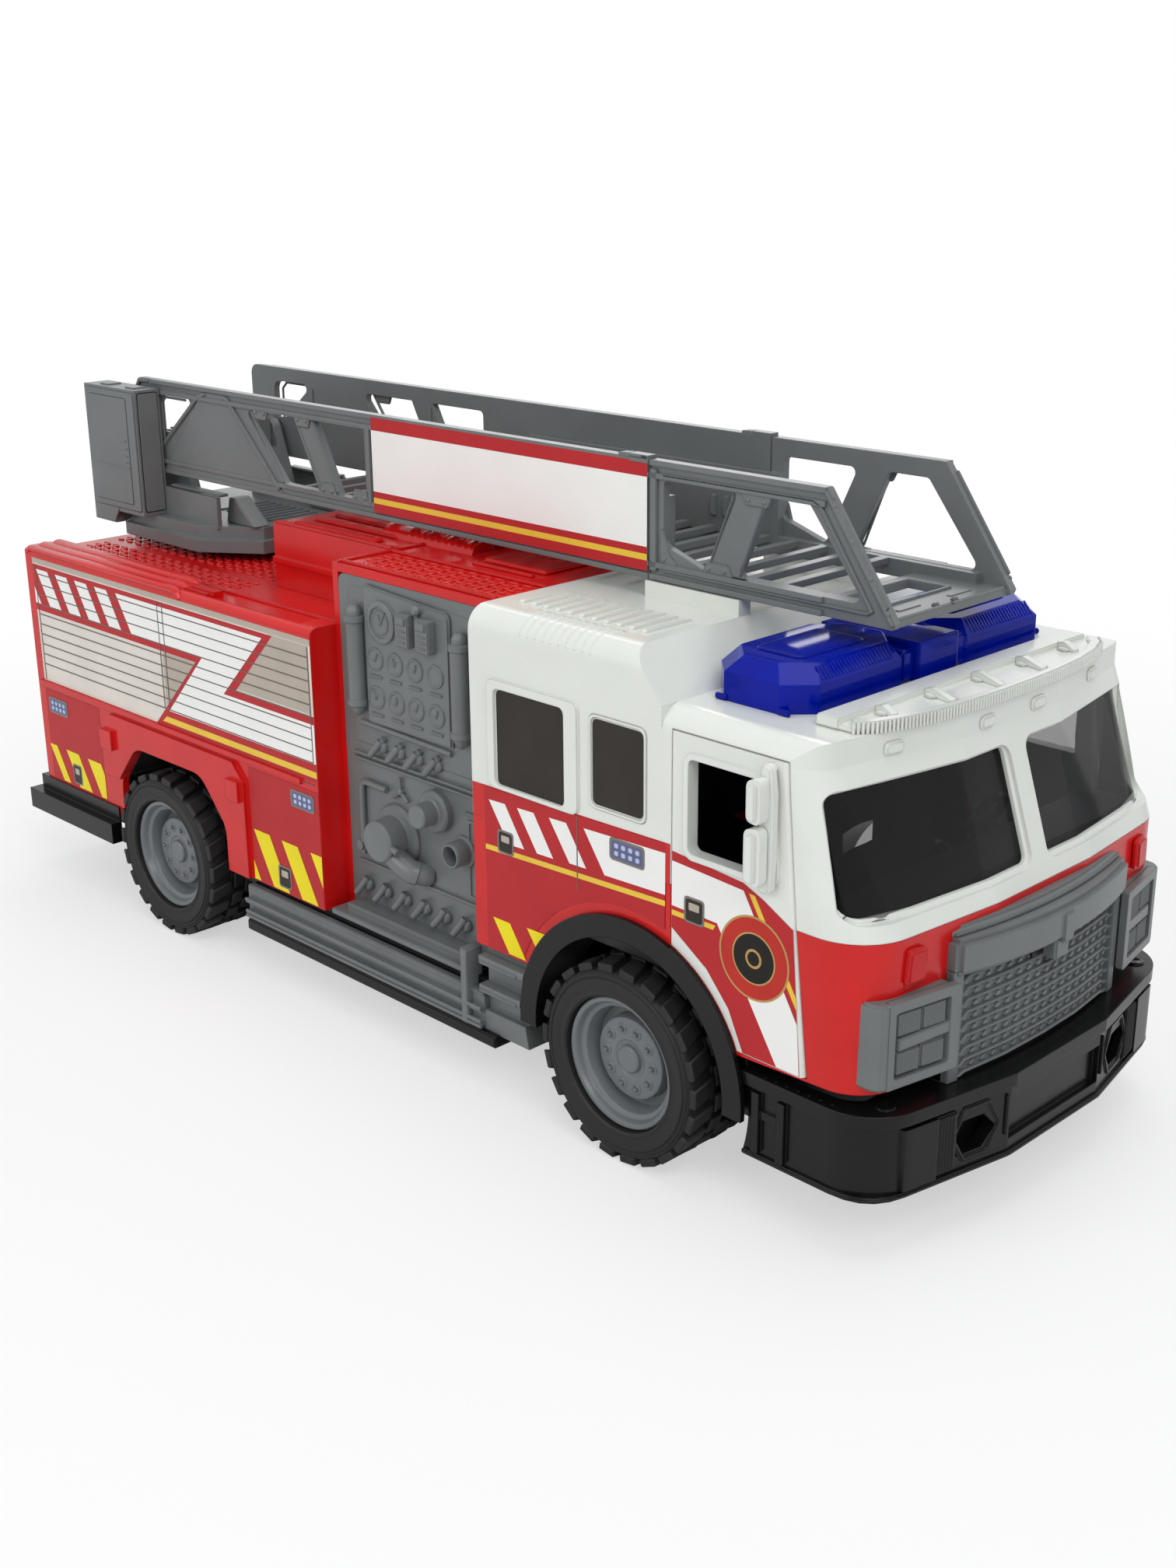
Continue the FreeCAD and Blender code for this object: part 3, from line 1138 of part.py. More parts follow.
def makeBumper():
    """The black bumper: a top shelf over a face with lamp blocks and recesses, and rib pairs on its sides."""
    low, high, over = d.bumperBottom, d.bumperTop, d.overlap
    shelfLow = high - d.bumperShelf
    face = frontAxle + d.frontOverhang - d.bumperRecess
    shelf = prism("bumper_shelf", "XY", [bumperPlan(Size.of(0))], shelfLow, high)
    skirt = prism("bumper_skirt", "XY", [bumperPlan(d.bumperRecess)], low, shelfLow)
    room = prism("bumper_room", "XY", [bumperPlan(d.bumperRecess + d.bumperWall)], low - over, shelfLow)
    parts = [shelf, cut("bumper_wall_ring", skirt, [room])]
    back, ribHigh = frontAxle + d.bumperBack, shelfLow - over
    for sideName, hand in SIDES:
        side = d.halfWidth - d.bumperRecess
        for k in range(2):
            x = back + d.bumperRibPitch * (k + 1)
            parts.append(box(f"bumper_rib_{sideName}_{k}", (x, x + d.bumperRib),
                             span(hand, side - over, side + d.bumperRecess),
                             (low + d.bumperRib, ribHigh)))
        x = back + d.bumperRibPitch
        z = (low + high) / 2
        parts.append(box(f"bumper_bar_{sideName}", (x, x + d.bumperRibPitch),
                         span(hand, side - over, side + d.bumperRecess / 2),
                         (z, z + d.bumperRib)))
        lamp0, lamp1 = d.bumperLamp, d.bumperLamp + d.bumperLampWidth
        block = box(f"bumper_lamp_{sideName}", (face - 3 * d.bumperWall, face + d.bumperRecess),
                    span(hand, lamp0, lamp1),
                    (low + d.bumperRib, ribHigh))
        keep = prism(f"bumper_lamp_room_{sideName}", "XY", [bumperPlan(Size.of(0))], low, high)
        parts.append(common(f"bumper_lamp_block_{sideName}", block, keep))
    solid = fuse("bumper_solid", parts)
    tools = []
    recess0 = face - d.bumperBow - over
    for sideName, hand in SIDES:
        y0, y1 = span(hand, d.hexInner, d.hexInner + d.hexWidth)
        cy, cz, slope = (y0 + y1) / 2, (low + shelfLow) / 2, d.hexWidth / 4
        depth = d.hexHeight / 2
        hexagon = [(y0, cz), (y0 + slope, cz - depth), (y1 - slope, cz - depth), (y1, cz),
                   (y1 - slope, cz + depth),
                   (y0 + slope, cz + depth)]
        tools.append(prism(f"bumper_hexagon_{sideName}", "YZ", [hexagon], recess0, face + 2 * over))
    wide = d.hexInner - 2 * d.bumperRib
    tools.append(box("bumper_centre_recess", (face - d.bumperWall / 2, face + 2 * over), (-wide, wide),
                     (low + 2 * d.bumperRib, shelfLow - 2 * d.bumperRib)))
    tools.append(rod("bumper_wheel_room", "Y", d.archOuter + d.joinGap, frontAxle, -2 * d.halfWidth,
                     axleHeight, 4 * d.halfWidth))
    tools.append(box("bumper_chassis_room", (frontAxle, cabFront - d.chassisNose + d.joinGap),
                     (-d.chassisHalfWidth - d.joinGap, d.chassisHalfWidth + d.joinGap), (low - 2 * over,
                             d.chassisTop + d.joinGap)))
    tools.append(prism("bumper_cab_room", "XY", [cabPlan(cabBase, d.wall + over)], shelfLow - over,
                       high + over))
    node("front_bumper", cut("bumper_shell", solid, tools))


makeBumper()


def frontPlan(proud, bow, half):
    """A block across the cab front with a bowed face."""
    face = cabFront + proud
    return [
        (cabFront - d.cabBow - d.wall, -half), (face - bow, -half), (face, -d.bowFlat),
        (face, d.bowFlat), (face - bow, half), (cabFront - d.cabBow - d.wall, half),
    ]


def makeGrille():
    """The bowed grille with its louvres, overhanging hood and centre tab."""
    low, high = d.bumperTop + d.joinGap, d.hoodBottom
    half, frame = d.grilleHalf, d.grilleFrame
    back = prism("grille_back", "XY",
                 [frontPlan(d.grilleProud - d.louvreDepth, d.grilleBow, half - frame / 2)], low, high)
    louvres = []
    pitch = (high - low) / (d.louvreCount + 1)
    for i in range(int(d.louvreCount.value)):
        z = low + pitch * (i + 1) - d.louvreThick / 2
        louvres.append(prism(f"grille_louvre_{i}", "XY",
                             [frontPlan(d.grilleProud, d.grilleBow, half - frame / 2)],
                             z, z + d.louvreThick))
    ends = []
    for sideName, hand in SIDES:
        whole = prism(f"grille_end_plan_{sideName}", "XY", [frontPlan(d.grilleProud, d.grilleBow, half)],
                      low, high)
        ends.append(common(f"grille_end_{sideName}", whole, box(
            f"grille_end_keep_{sideName}", (cabFront - 4 * d.wall, cabFront + d.hoodProud), span(hand,
                    half - frame, half),
            (low, high))))
    hoodLow = prism("grille_hood_front", "XY", [frontPlan(d.hoodProud, d.hoodBow, half)], high, d.hoodEdge)
    crown = leaning("grille_hood_crown", [frontPlan(d.hoodProud, d.hoodBow, half)], d.hoodEdge, d.hoodTop,
                    d.hoodLean)
    tab = prism("grille_tab", "YZ", [[
        (-d.tabHalf, d.tabBottom, d.louvreThick), (d.tabHalf, d.tabBottom, d.louvreThick), (d.tabHalf,
                high + d.overlap),
        (-d.tabHalf, high + d.overlap),
    ]], cabFront, cabFront + d.hoodProud - d.louvreDepth)
    solid = fuse("grille_solid", [back, hoodLow, crown, tab] + louvres + ends)
    cab = prism("grille_cab_room", "XY", [cabPlan(cabWaist, -d.joinGap)], low - d.overlap,
                d.hoodTop + d.overlap)
    node("grille", cut("grille_shape", solid, [cab]))


makeGrille()


def makeHeadlights():
    """Headlight clusters: a bevelled block with four framed lamps."""
    low, high, over = d.lampBottom, d.lampTop, d.overlap
    inner = d.grilleHalf + d.joinGap
    x0, x1 = frontAxle + d.lampFront, frontAxle + d.lampFrontInner
    rear = x0 - d.lampDepth
    for sideName, hand in SIDES:
        outer = d.lampOuter
        block = prism(f"lamp_block_{sideName}", "XY", [[
            (rear, hand * inner), (x1, hand * inner), (x0, hand * (outer - d.lampBevel)),
            (x0 - d.lampBevel, hand * outer), (rear, hand * outer),
        ]], low, high)
        frame, room = d.lampFrame, d.lampRecess
        tools = [prism(f"lamp_cab_room_{sideName}", "XY", [cabPlan(cabWaist, -d.joinGap)], low - over,
                       high + over)]
        slope = (x1 - x0) / (outer - d.lampBevel - inner)
        middle = (inner + outer - d.lampBevel) / 2
        tall = (high - low - 3 * frame) / 2
        for row in range(2):
            z = low + frame + row * (tall + frame)
            for column, (a,
                    b) in enumerate(((inner + frame, middle - room / 2),
                                     (middle + room / 2, outer - d.lampBevel - frame))):
                xa, xb = x1 - slope * (a - inner), x1 - slope * (b - inner)
                tools.append(prism(f"lamp_recess_{sideName}_{row}_{column}", "XY", [[
                    (xa - room, hand * a), (xa + over, hand * a), (xb + over, hand * b), (xb - room,
                            hand * b),
                ]], z, z + tall))
        node(f"headlight_{sideName}", cut(f"headlight_shape_{sideName}", block, tools))


makeHeadlights()


def makeRoofFittings():
    """The visor rack with its wedge ribs, and the blue light bar."""
    base = d.roofFront + d.joinGap
    back, front, half = frontAxle + d.visorBack, frontAxle + d.visorAhead, d.visorHalf
    bow, rim = d.visorBow, d.visorRimWidth

    def visorPlan(inset):
        return [
            (back, -half + inset), (front - bow, -half + inset), (front - bow / 2, -half + bow + inset),
            (front - inset, -d.bowFlat), (front - inset, d.bowFlat),
            (front - bow / 2, half - bow - inset), (front - bow, half - inset), (back, half - inset),
        ]

    plate = prism("visor_plate", "XY", [visorPlan(Size.of(0))], base, base + d.visorThick)
    outer = prism("visor_rim_outer", "XY", [visorPlan(Size.of(0))], base - d.visorDrop, base + d.visorRim)
    inner = prism("visor_rim_inner", "XY", [visorPlan(rim)], base - d.visorDrop - d.overlap,
                  base + d.visorRim + d.overlap)
    rear = box("visor_rim_rear", (back - d.overlap, front - bow), (-half, half),
               (base - d.visorDrop - d.overlap, base + d.visorRim + d.overlap))
    strip = box("visor_strip", (back, back + d.visorStrip), (-half, half), (base, base + d.visorRim))
    parts = [plate, strip, cut("visor_rim_edge", outer, [inner, rear])]
    for i in range(int(d.visorRibs.value)):
        y = (i - (d.visorRibs - 1) / 2) * d.visorRibPitch
        rib = prism(f"visor_rib_{i}", "XZ", [[
            (back + d.visorStrip, base + d.visorRim), (back + d.visorStrip, base), (front - bow, base),
            (front - bow, base + d.visorThick),
        ]], y - d.visorRibThick / 2, y + d.visorRibThick / 2)
        parts.append(rib)
    brow = prism("visor_cab_room", "XY", [cabPlan(cabCrown, -d.joinGap)], base - 2 * d.visorDrop, base)
    node("visor_rack", cut("visor_rack_shape", fuse("visor_rack_solid", parts), [brow]))
    c, x0, x1 = d.barChamfer, frontAxle + d.barBack, frontAxle + d.barFront

    def ring(low, high, inset):
        a, b, e, f = x0 + inset, x1 - inset, low, high
        return [(a, e + c), (a + c, e), (b - c, e), (b, e + c), (b, f - c), (b - c, f), (a + c, f),
                (a, f - c)]

    parts = []
    for sideName, hand in SIDES:
        wide = span(hand, d.barCentre - d.overlap, d.barHalf)
        top = span(hand, d.barCentre - d.overlap + d.barSlope / 2, d.barHalf - d.barSlope)
        parts.append(prism(f"bar_base_{sideName}", "XY", [ring(*wide, Size.of(0))], base, d.barShoulder))
        parts.append(lofted(f"bar_cap_{sideName}", ring(*wide, Size.of(0)), d.barShoulder,
                            ring(*top, d.barSlope), d.barTop))
    parts.append(box("bar_centre", (x0 + d.overlap, x1 + d.overlap), (-d.barCentre, d.barCentre),
                     (base, d.barTop - d.overlap)))
    node("light_bar", fuse("light_bar_shape", parts))


makeRoofFittings()


def platformLoop(inset):
    """The turntable platform's outline: an oblong with cut corners."""
    a, b = d.turnHalfLength - inset, d.turnHalfWidth - inset
    cx, cy = d.turnChamferX, d.turnChamferY
    return [
        (turnAxis - a, -b + cy), (turnAxis - a + cx / 2, -b), (turnAxis + a - cx, -b), (turnAxis + a,
                -b + cy),
        (turnAxis + a, b - cy), (turnAxis + a - cx, b), (turnAxis - a + cx / 2, b), (turnAxis - a, b - cy),
    ]


def makeTurntable():
    """Stepped platform on a spigot, with cheeks and pivot brackets, and the control pod at its rear right."""
    low, mid = d.turnBottom, d.turnBottom + d.turnStep
    top, over = mid + d.turnStep, d.overlap
    spigotLow = d.deckHeight - d.wall - over
    parts = [
        prism("turn_lower_step", "XY", [platformLoop(Size.of(0))], low, mid),
        prism("turn_upper_step", "XY", [platformLoop(d.turnInset)], mid, top),
        rod("turn_spigot", "Z", d.spigotRadius, turnAxis, 0, spigotLow, mid - spigotLow),
        rod("turn_collar", "Z", d.collarRadius, turnAxis, 0, d.deckHeight + d.turnGap,
            mid - d.deckHeight - d.turnGap),
    ]
    boss, podRear = d.pivotBoss, turnAxis - d.podBehind
    for sideName, hand in SIDES:
        inner = d.ladderHalf + d.restGap
        parts.append(box(f"turn_cheek_{sideName}",
                         (podRear + d.podLength + d.joinGap, turnAxis + d.cheekAhead),
                         span(hand, inner, inner + d.cheekThick), (top - over, top + d.cheekHeight)))
        parts.append(prism(f"turn_ear_{sideName}", "XZ", [[
            (pivotX - 2 * boss, top - over), (pivotX + 3 * boss, top - over), (pivotX + boss,
                    d.pivotHeight + boss, boss - d.seam),
            (pivotX - boss, d.pivotHeight + boss, boss - d.seam),
        ]], *span(hand, earHalf - d.earThick, earHalf)))
    bore = rod("turn_pin_bore", "Y", d.pivotPin + d.runningFit, pivotX, -d.ladderHalf, d.pivotHeight,
               2 * d.ladderHalf)
    node("turntable", cut("turntable_shape", fuse("turntable_solid", parts), [bore]))
    inner = d.ladderHalf + d.podGap
    outer = inner + d.podWidth
    pod = box("pod_body", (podRear, podRear + d.podLength), (-outer, -inner), (top + d.joinGap, d.podTop))
    foot = box("pod_foot", (podRear, podRear + d.podFoot), (-outer, -inner), (mid, top + 2 * d.joinGap))
    room = prism("pod_room", "XY", [platformLoop(-d.joinGap)], low - over, top + d.joinGap)
    node("control_pod", cut("control_pod_shape", fuse("control_pod_solid", [pod, foot]), [room]))


makeTurntable()


def ladderRidges(name, hand, back, front):
    """Two raised ridges along the top and bottom rail of a ladder side."""
    ridges = []
    low, high, tall = d.ladderBottom, d.ladderTop, d.ridgeHeight
    for k, z in enumerate((low, low + d.railHeight - tall, high - d.railHeight, high - tall)):
        ridges.append(box(f"{name}_ridge_{k}", (back, front),
                          span(hand, d.ladderHalf - d.overlap, d.ladderHalf + d.railProud),
                          (z, z + tall)))
    return ridges


def brace(name, hand, top, bottom, width, proud):
    """A leaning strut between the top and bottom rail of a ladder side."""
    low, high = d.ladderBottom + d.railHeight - d.overlap, d.ladderTop - d.railHeight + d.overlap
    return prism(name, "XZ", [[(top, high), (top + width, high), (bottom + width, low), (bottom, low)]],
                 *span(hand, d.ladderHalf - d.railThick, d.ladderHalf + proud))


def rungs(name, half, low, start, end):
    """Flat rungs across the ladder from start to end."""
    count = int((end.value - start.value) // d.rungPitch.value) + 1
    return [box(f"{name}_rung_{i}", (start + d.rungPitch * i, start + d.rungPitch * i + d.rungWidth),
                (-half, half),
                (low, low + d.rungThick)) for i in range(count)]


def makeLadderBase():
    """The lower ladder section: trussed sides with ridged rails, rungs, and the raising pin in a tube."""
    low, high, rail, corner = d.ladderBottom, d.ladderTop, d.railHeight, d.windowCorner
    back, front = rearAxle - d.ladderBehind, rearAxle + d.ladderJoint
    half, over, boss = d.ladderHalf, d.overlap, d.pivotBoss
    hole0 = back + d.tailOpening
    hole1 = hole0 + d.tailOpeningLength
    parts = []
    for sideName, hand in SIDES:
        outer = [(back, low + 2 * rail, 2 * corner), (back + 2 * rail, low), (front, low), (front, high),
                 (back, high, 2 * corner)]
        tail = [(hole0, low + 2 * rail), (hole1, high - rail, corner), (hole0, high - rail, 2 * corner)]
        truss = [
            (rearAxle + d.trussBack, high - rail, corner), (rearAxle + d.trussLow, low + rail, corner),
            (rearAxle + d.trussFront, low + rail, corner), (rearAxle + d.trussFront, high - rail, corner),
        ]
        parts.append(prism(f"ladder_side_{sideName}", "XZ", [outer, tail, truss],
                           *span(hand, half - d.railThick, half)))
        parts.append(brace(f"ladder_brace_{sideName}", hand, rearAxle + d.braceTop,
                           rearAxle + d.braceBottom, d.braceWidth,
                           Size.of(0)))
        parts += ladderRidges(f"ladder_{sideName}", hand, back + 2 * rail, front)
        parts.append(prism(f"ladder_gusset_{sideName}", "XZ", [[
            (hole0, low), (rearAxle + d.trussLow, low), (rearAxle + d.trussBack - 2 * rail, high - corner),
            (hole1 + rail, high - corner),
        ]], *span(hand, half - over, half + d.railProud / 2)))
        parts.append(box(f"ladder_clip_{sideName}", (front - d.clipLength, front),
                         span(hand, half - d.railThick, half + d.clipThick),
                         (high - over, high + d.clipThick)))
    tube = box("ladder_pin_tube", (pivotX - boss, pivotX + boss), (-half + over, half - over),
               (d.pivotHeight - boss, d.pivotHeight + boss))
    reach = d.earSweep
    rooms = [box(f"ladder_ear_room_{sideName}", (pivotX - reach, pivotX + reach),
                 span(hand, earHalf - d.earThick - d.seam, half - d.railThick), (d.pivotHeight - reach,
                         d.pivotHeight + reach))
             for sideName, hand in SIDES]
    trunk = cut("ladder_trunk", tube, rooms)
    pin = rod("ladder_pin", "Y", d.pivotPin, pivotX, -half + over, d.pivotHeight, 2 * half - 2 * over)
    steps = rungs("ladder", half - over, low, rearAxle + d.rungPitch,
                  rearAxle + d.ladderJoint - d.rungPitch)
    node("ladder_base", fuse("ladder_base_shape", parts + [trunk, pin] + steps))


def makeLadderFly():
    """The sliding section: trussed sides with a slanted tip, a tail inside the base section, and a tip plate."""
    low, high, rail, corner = d.ladderBottom, d.ladderTop, d.railHeight, d.windowCorner
    back, front = rearAxle + d.ladderJoint + d.slideGap, rearAxle + d.ladderTip
    topFront, tail = rearAxle + d.ladderTipTop, rearAxle + d.tailStart
    half, over, post, frame = d.ladderHalf, d.overlap, d.flyPost, d.tipFrame
    inner, lift = slideHalf, low + d.tailLift
    width = frame
    upper = back + d.flyWindowFront
    lower = upper - frame
    parts = []
    for sideName, hand in SIDES:
        parts.append(prism(f"fly_side_{sideName}", "XZ", [
            [(back, low), (front, low, over), (topFront, high, over), (back, high)],
            [(back + post, low + 2 * rail, corner), (lower, low + rail, corner),
             (upper, high - rail, corner),
             (back + post, high - rail, corner)],
            [(lower + width, low + rail, corner), (front - frame, low + rail, corner),
             (topFront - frame / 2, high - rail, corner), (upper + width, high - rail, corner)],
        ], *span(hand, half - d.railThick, half)))
        parts += ladderRidges(f"fly_{sideName}", hand, back, topFront)
        parts.append(prism(f"fly_tail_{sideName}", "XZ", [[
            (tail, lift), (back + post, lift), (back + post,
                                                lift + d.tailHeight), (tail + d.tailHeight / 2,
                                                        lift + d.tailHeight),
        ]], *span(hand, inner - d.slideThick, inner)))
        parts.append(box(f"fly_link_{sideName}", (back, back + post),
                         span(hand, inner - d.slideThick, half - over),
                         (lift, lift + d.tailHeight)))
        parts.append(box(f"fly_rail_{sideName}", (back, front - frame),
                         span(hand, inner - d.slideThick, half - over),
                         (low, lift + d.rungThick)))
    plate = box("fly_tip_plate", (front - d.tipPlate, front - d.railThick), (-half + over, half - over),
                (low, low + d.rungThick))
    hole = box("fly_tip_hole", (front - d.tipPlate + post, front - d.tipPlate + post + d.tipOpening),
               (-d.tipOpeningHalf, d.tipOpeningHalf), (low - over, low + 2 * d.rungThick))
    parts.append(cut("fly_tip", plate, [hole]))
    parts += rungs("fly", inner - over, lift, tail + d.rungWidth, front - d.tipPlate - d.rungWidth)
    node("ladder_fly", fuse("ladder_fly_shape", parts))


makeLadderBase()
makeLadderFly()

doc.recompute()

failed = [o.Name for o in doc.Objects if "Invalid" in o.State or "Error" in o.State]
for name, obj in nodes.items():
    shape = obj.Shape
    if shape.isNull() or not shape.isValid() or not shape.Solids:
        failed.append(name)
if failed:
    raise SystemExit(f"these objects failed: {failed}")

os.makedirs("parts", exist_ok=True)
for name, obj in nodes.items():
    obj.Shape.exportStep(f"parts/{name}.step")
    print(f"{name}: {len(obj.Shape.Solids)} solid(s)")
print(f"{len(nodes)} nodes")
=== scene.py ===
import math
from functools import partial
import bmesh
import bpy
from mathutils import Matrix, Vector


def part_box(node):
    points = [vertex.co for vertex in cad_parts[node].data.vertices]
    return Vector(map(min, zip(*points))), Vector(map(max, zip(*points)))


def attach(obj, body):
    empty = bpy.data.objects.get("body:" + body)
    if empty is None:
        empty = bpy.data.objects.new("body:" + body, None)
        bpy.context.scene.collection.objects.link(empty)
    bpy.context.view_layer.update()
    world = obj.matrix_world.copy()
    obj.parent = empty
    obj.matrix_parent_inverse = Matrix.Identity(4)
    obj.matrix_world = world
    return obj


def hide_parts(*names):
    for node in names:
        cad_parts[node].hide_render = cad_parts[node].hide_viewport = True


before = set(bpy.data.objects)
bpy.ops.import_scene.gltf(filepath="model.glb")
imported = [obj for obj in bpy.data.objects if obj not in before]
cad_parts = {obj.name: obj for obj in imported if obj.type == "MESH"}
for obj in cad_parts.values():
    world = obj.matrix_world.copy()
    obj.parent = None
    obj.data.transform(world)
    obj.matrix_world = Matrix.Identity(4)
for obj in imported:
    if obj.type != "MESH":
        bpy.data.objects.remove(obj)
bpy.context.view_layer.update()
print("frame loaded")

mm = 0.001
sides = (("right", -1), ("left", 1))


def boxOf(node):  # a node's box as three (low, high) pairs in millimetres
    low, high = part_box(node)
    return [(low[k] / mm, high[k] / mm) for k in range(3)]


def middle(pair):
    return (pair[0] + pair[1]) / 2


rearBox = boxOf("rear_body")
zeroX, zeroZ = rearBox[0][0] + 62, rearBox[2][0] - 33  # origin of the side drawings
sideY = boxOf("windscreen")[1][1] + 2.25  # centre plane to the flat sides


def linear(colour):  # written colour 0..255 to the values the shaders use
    return tuple(((c / 255 + 0.055) / 1.055) ** 2.4 if c > 10 else c / 3294.6 for c in colour) + (1.0,)


def linked(name, data):  # a new object in the scene
    thing = bpy.data.objects.new(name, data)
    bpy.context.scene.collection.objects.link(thing)
    return thing


def makeNodes(tree, *kinds):
    return [tree.nodes.new(kind) for kind in kinds]


def fill(node, values):
    for socket, value in values.items():
        node.inputs[socket].default_value = value


def wire(tree, *links):  # each link runs from a node's output to a node's input
    for source, out, target, into in links:
        tree.links.new(source.outputs[out], target.inputs[into])


# finishes
usual = {"drift": 0.05, "driftScale": 70, "grain": 0.15, "grainScale": 2600, "grainDepth": 0.02, "edge": 0.4,
         "roughSpread": 0.15, "specular": 0.5, "coat": 0, "coatRough": 0.1, "metal": 0, "clear": 0,
         "alpha": 1, "inside": 0, "insideReach": 0.4}
printed = {"edge": 0.05}  # printed films have sharper edges


def plastic(name, look):  # moulded or printed, with soft edges, faint grain and slight colour drift
    look = {**usual, **(printed if name.startswith("print") else {}), **look}
    material = bpy.data.materials.new(name)
    material.use_nodes = True
    tree = material.node_tree
    shader = tree.nodes["Principled BSDF"]
    place, drift, grain, ramp, rough, soft, bump = makeNodes(
        tree, "ShaderNodeTexCoord", "ShaderNodeTexNoise", "ShaderNodeTexNoise", "ShaderNodeValToRGB",
        "ShaderNodeMapRange", "ShaderNodeBevel", "ShaderNodeBump")
    fill(drift, {"Scale": look["driftScale"], "Detail": 3})
    fill(grain, {"Scale": look["grainScale"], "Detail": 2})
    stops, base, spread = ramp.color_ramp.elements, linear(look["colour"])[:3], look["roughSpread"]
    for stop, position, share in zip(stops, (0.3, 0.7), (1 - look["drift"], 1 + look["drift"])):
        stop.position = position
        stop.color = tuple(min(1, c * share) for c in base) + (1,)
    fill(rough, {"To Min": look["rough"] * (1 - spread), "To Max": look["rough"] * (1 + spread)})
    soft.samples = 4
    fill(soft, {"Radius": look["edge"] * mm})
    fill(bump, {"Strength": look["grain"], "Distance": look["grainDepth"] * mm})
    fill(shader, {"Specular IOR Level": look["specular"], "Coat Weight": look["coat"],
                  "Coat Roughness": look["coatRough"], "Metallic": look["metal"],
                  "Transmission Weight": look["clear"], "Alpha": look["alpha"],
                  "Subsurface Weight": look["inside"], "Subsurface Scale": look["insideReach"] * mm})
    wire(tree, (place, "Object", drift, "Vector"), (place, "Object", grain, "Vector"),
         (drift, "Fac", ramp, "Fac"), (ramp, "Color", shader, "Base Color"), (grain, "Fac", rough, "Value"),
         (rough, "Result", shader, "Roughness"), (grain, "Fac", bump, "Height"),
         (soft, "Normal", bump, "Normal"), (bump, "Normal", shader, "Normal"))
    return material


looks = {
    "redPlastic": dict(colour=(198, 18, 17), rough=0.22, coat=0.1, specular=0.3, drift=0.06, grain=0.1),
    "whitePlastic": dict(colour=(216, 219, 212), rough=0.26, coat=0.3, drift=0.02, grain=0.1),
    "greyPlastic": dict(colour=(104, 108, 108), rough=0.34, specular=0.4, drift=0.06, grain=0.3,
                        grainScale=1900),
    "blackPlastic": dict(colour=(14, 14, 15), rough=0.24, specular=0.26, drift=0.12, grain=0.2),
    "cabInside": dict(colour=(38, 38, 41), rough=0.5, drift=0.12, grain=0.4),
    "rubber": dict(colour=(21, 21, 21), rough=0.56, specular=0.35, drift=0.15, grain=0.6, grainScale=1500,
                   grainDepth=0.05),
    "rimPlastic": dict(colour=(106, 111, 113), rough=0.3, specular=0.4, drift=0.05, grain=0.2),
    "axleSteel": dict(colour=(150, 150, 150), rough=0.3, metal=1, drift=0.05, grain=0.3),
    "printRed": dict(colour=(176, 40, 44), rough=0.4, specular=0.16, drift=0.05),
    "printWhite": dict(colour=(232, 232, 228), rough=0.38, coat=0.15, drift=0.02),
    "printYellow": dict(colour=(232, 214, 10), rough=0.38, specular=0.25, drift=0.05),
    "printStraw": dict(colour=(226, 190, 62), rough=0.38, specular=0.25, drift=0.05),
    "printTaupe": dict(colour=(172, 161, 148), rough=0.42, drift=0.05),
    "printPale": dict(colour=(214, 207, 197), rough=0.42, drift=0.04),
    "printLine": dict(colour=(96, 84, 76), rough=0.45, drift=0.08, edge=0.03),
    "printWindow": dict(colour=(52, 47, 42), rough=0.3, specular=0.12, drift=0.12),
    "printFrame": dict(colour=(112, 108, 104), rough=0.4, drift=0.06),
    "printLamp": dict(colour=(84, 88, 122), rough=0.35, drift=0.15),
    "printSpot": dict(colour=(176, 186, 226), rough=0.35, drift=0.08),
    "printGold": dict(colour=(176, 138, 70), rough=0.35, drift=0.1),
    "printOrange": dict(colour=(180, 42, 34), rough=0.38, specular=0.2, drift=0.08),
    "printBlack": dict(colour=(30, 28, 26), rough=0.38, specular=0.15, drift=0.15),
    "markerLens": dict(colour=(190, 16, 18), rough=0.14, specular=0.3, drift=0.08, inside=0.2),
    "blueLens": dict(colour=(0, 24, 158), rough=0.07, specular=0.07, drift=0.2, clear=0.18, grain=0.05),
    "blueCore": dict(colour=(5, 10, 90), rough=0.4, drift=0.2, grain=0.2),
    "smokedGlass": dict(colour=(10, 10, 11), rough=0.05, specular=0.3, drift=0.1, alpha=0.5, grain=0.02),
}
finish = {name: plastic(name, look) for name, look in looks.items()}
handed = ("rear_tyre", "front_tyre", "rear_rim", "front_rim", "door", "mirror", "wheel_well", "front_arch")
pairs = {stem: (stem + "_right", stem + "_left") for stem in handed}
nodeFinish = {
    "redPlastic": ("rear_body", "pump_house", "cab_lower"),
    "whitePlastic": ("cab_upper", "visor_rack", *pairs["door"], *pairs["mirror"]),
    "blackPlastic": ("chassis", *pairs["wheel_well"], "rear_step", *pairs["front_arch"], "front_bumper"),
    "cabInside": ("cab_floor", "seats", "dashboard", "steering_wheel"),
    "axleSteel": ("rear_axle", "front_axle"),
    "blueLens": ("light_bar",),
    "smokedGlass": ("windscreen",),
    "rubber": (*pairs["rear_tyre"], *pairs["front_tyre"]),
    "rimPlastic": (*pairs["rear_rim"], *pairs["front_rim"]),
}
owner = {node: name for name, group in nodeFinish.items() for node in group}
for node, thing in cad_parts.items():
    thing.data.materials.clear()
    thing.data.materials.append(finish[owner.get(node, "greyPlastic")])
print("finishes made")


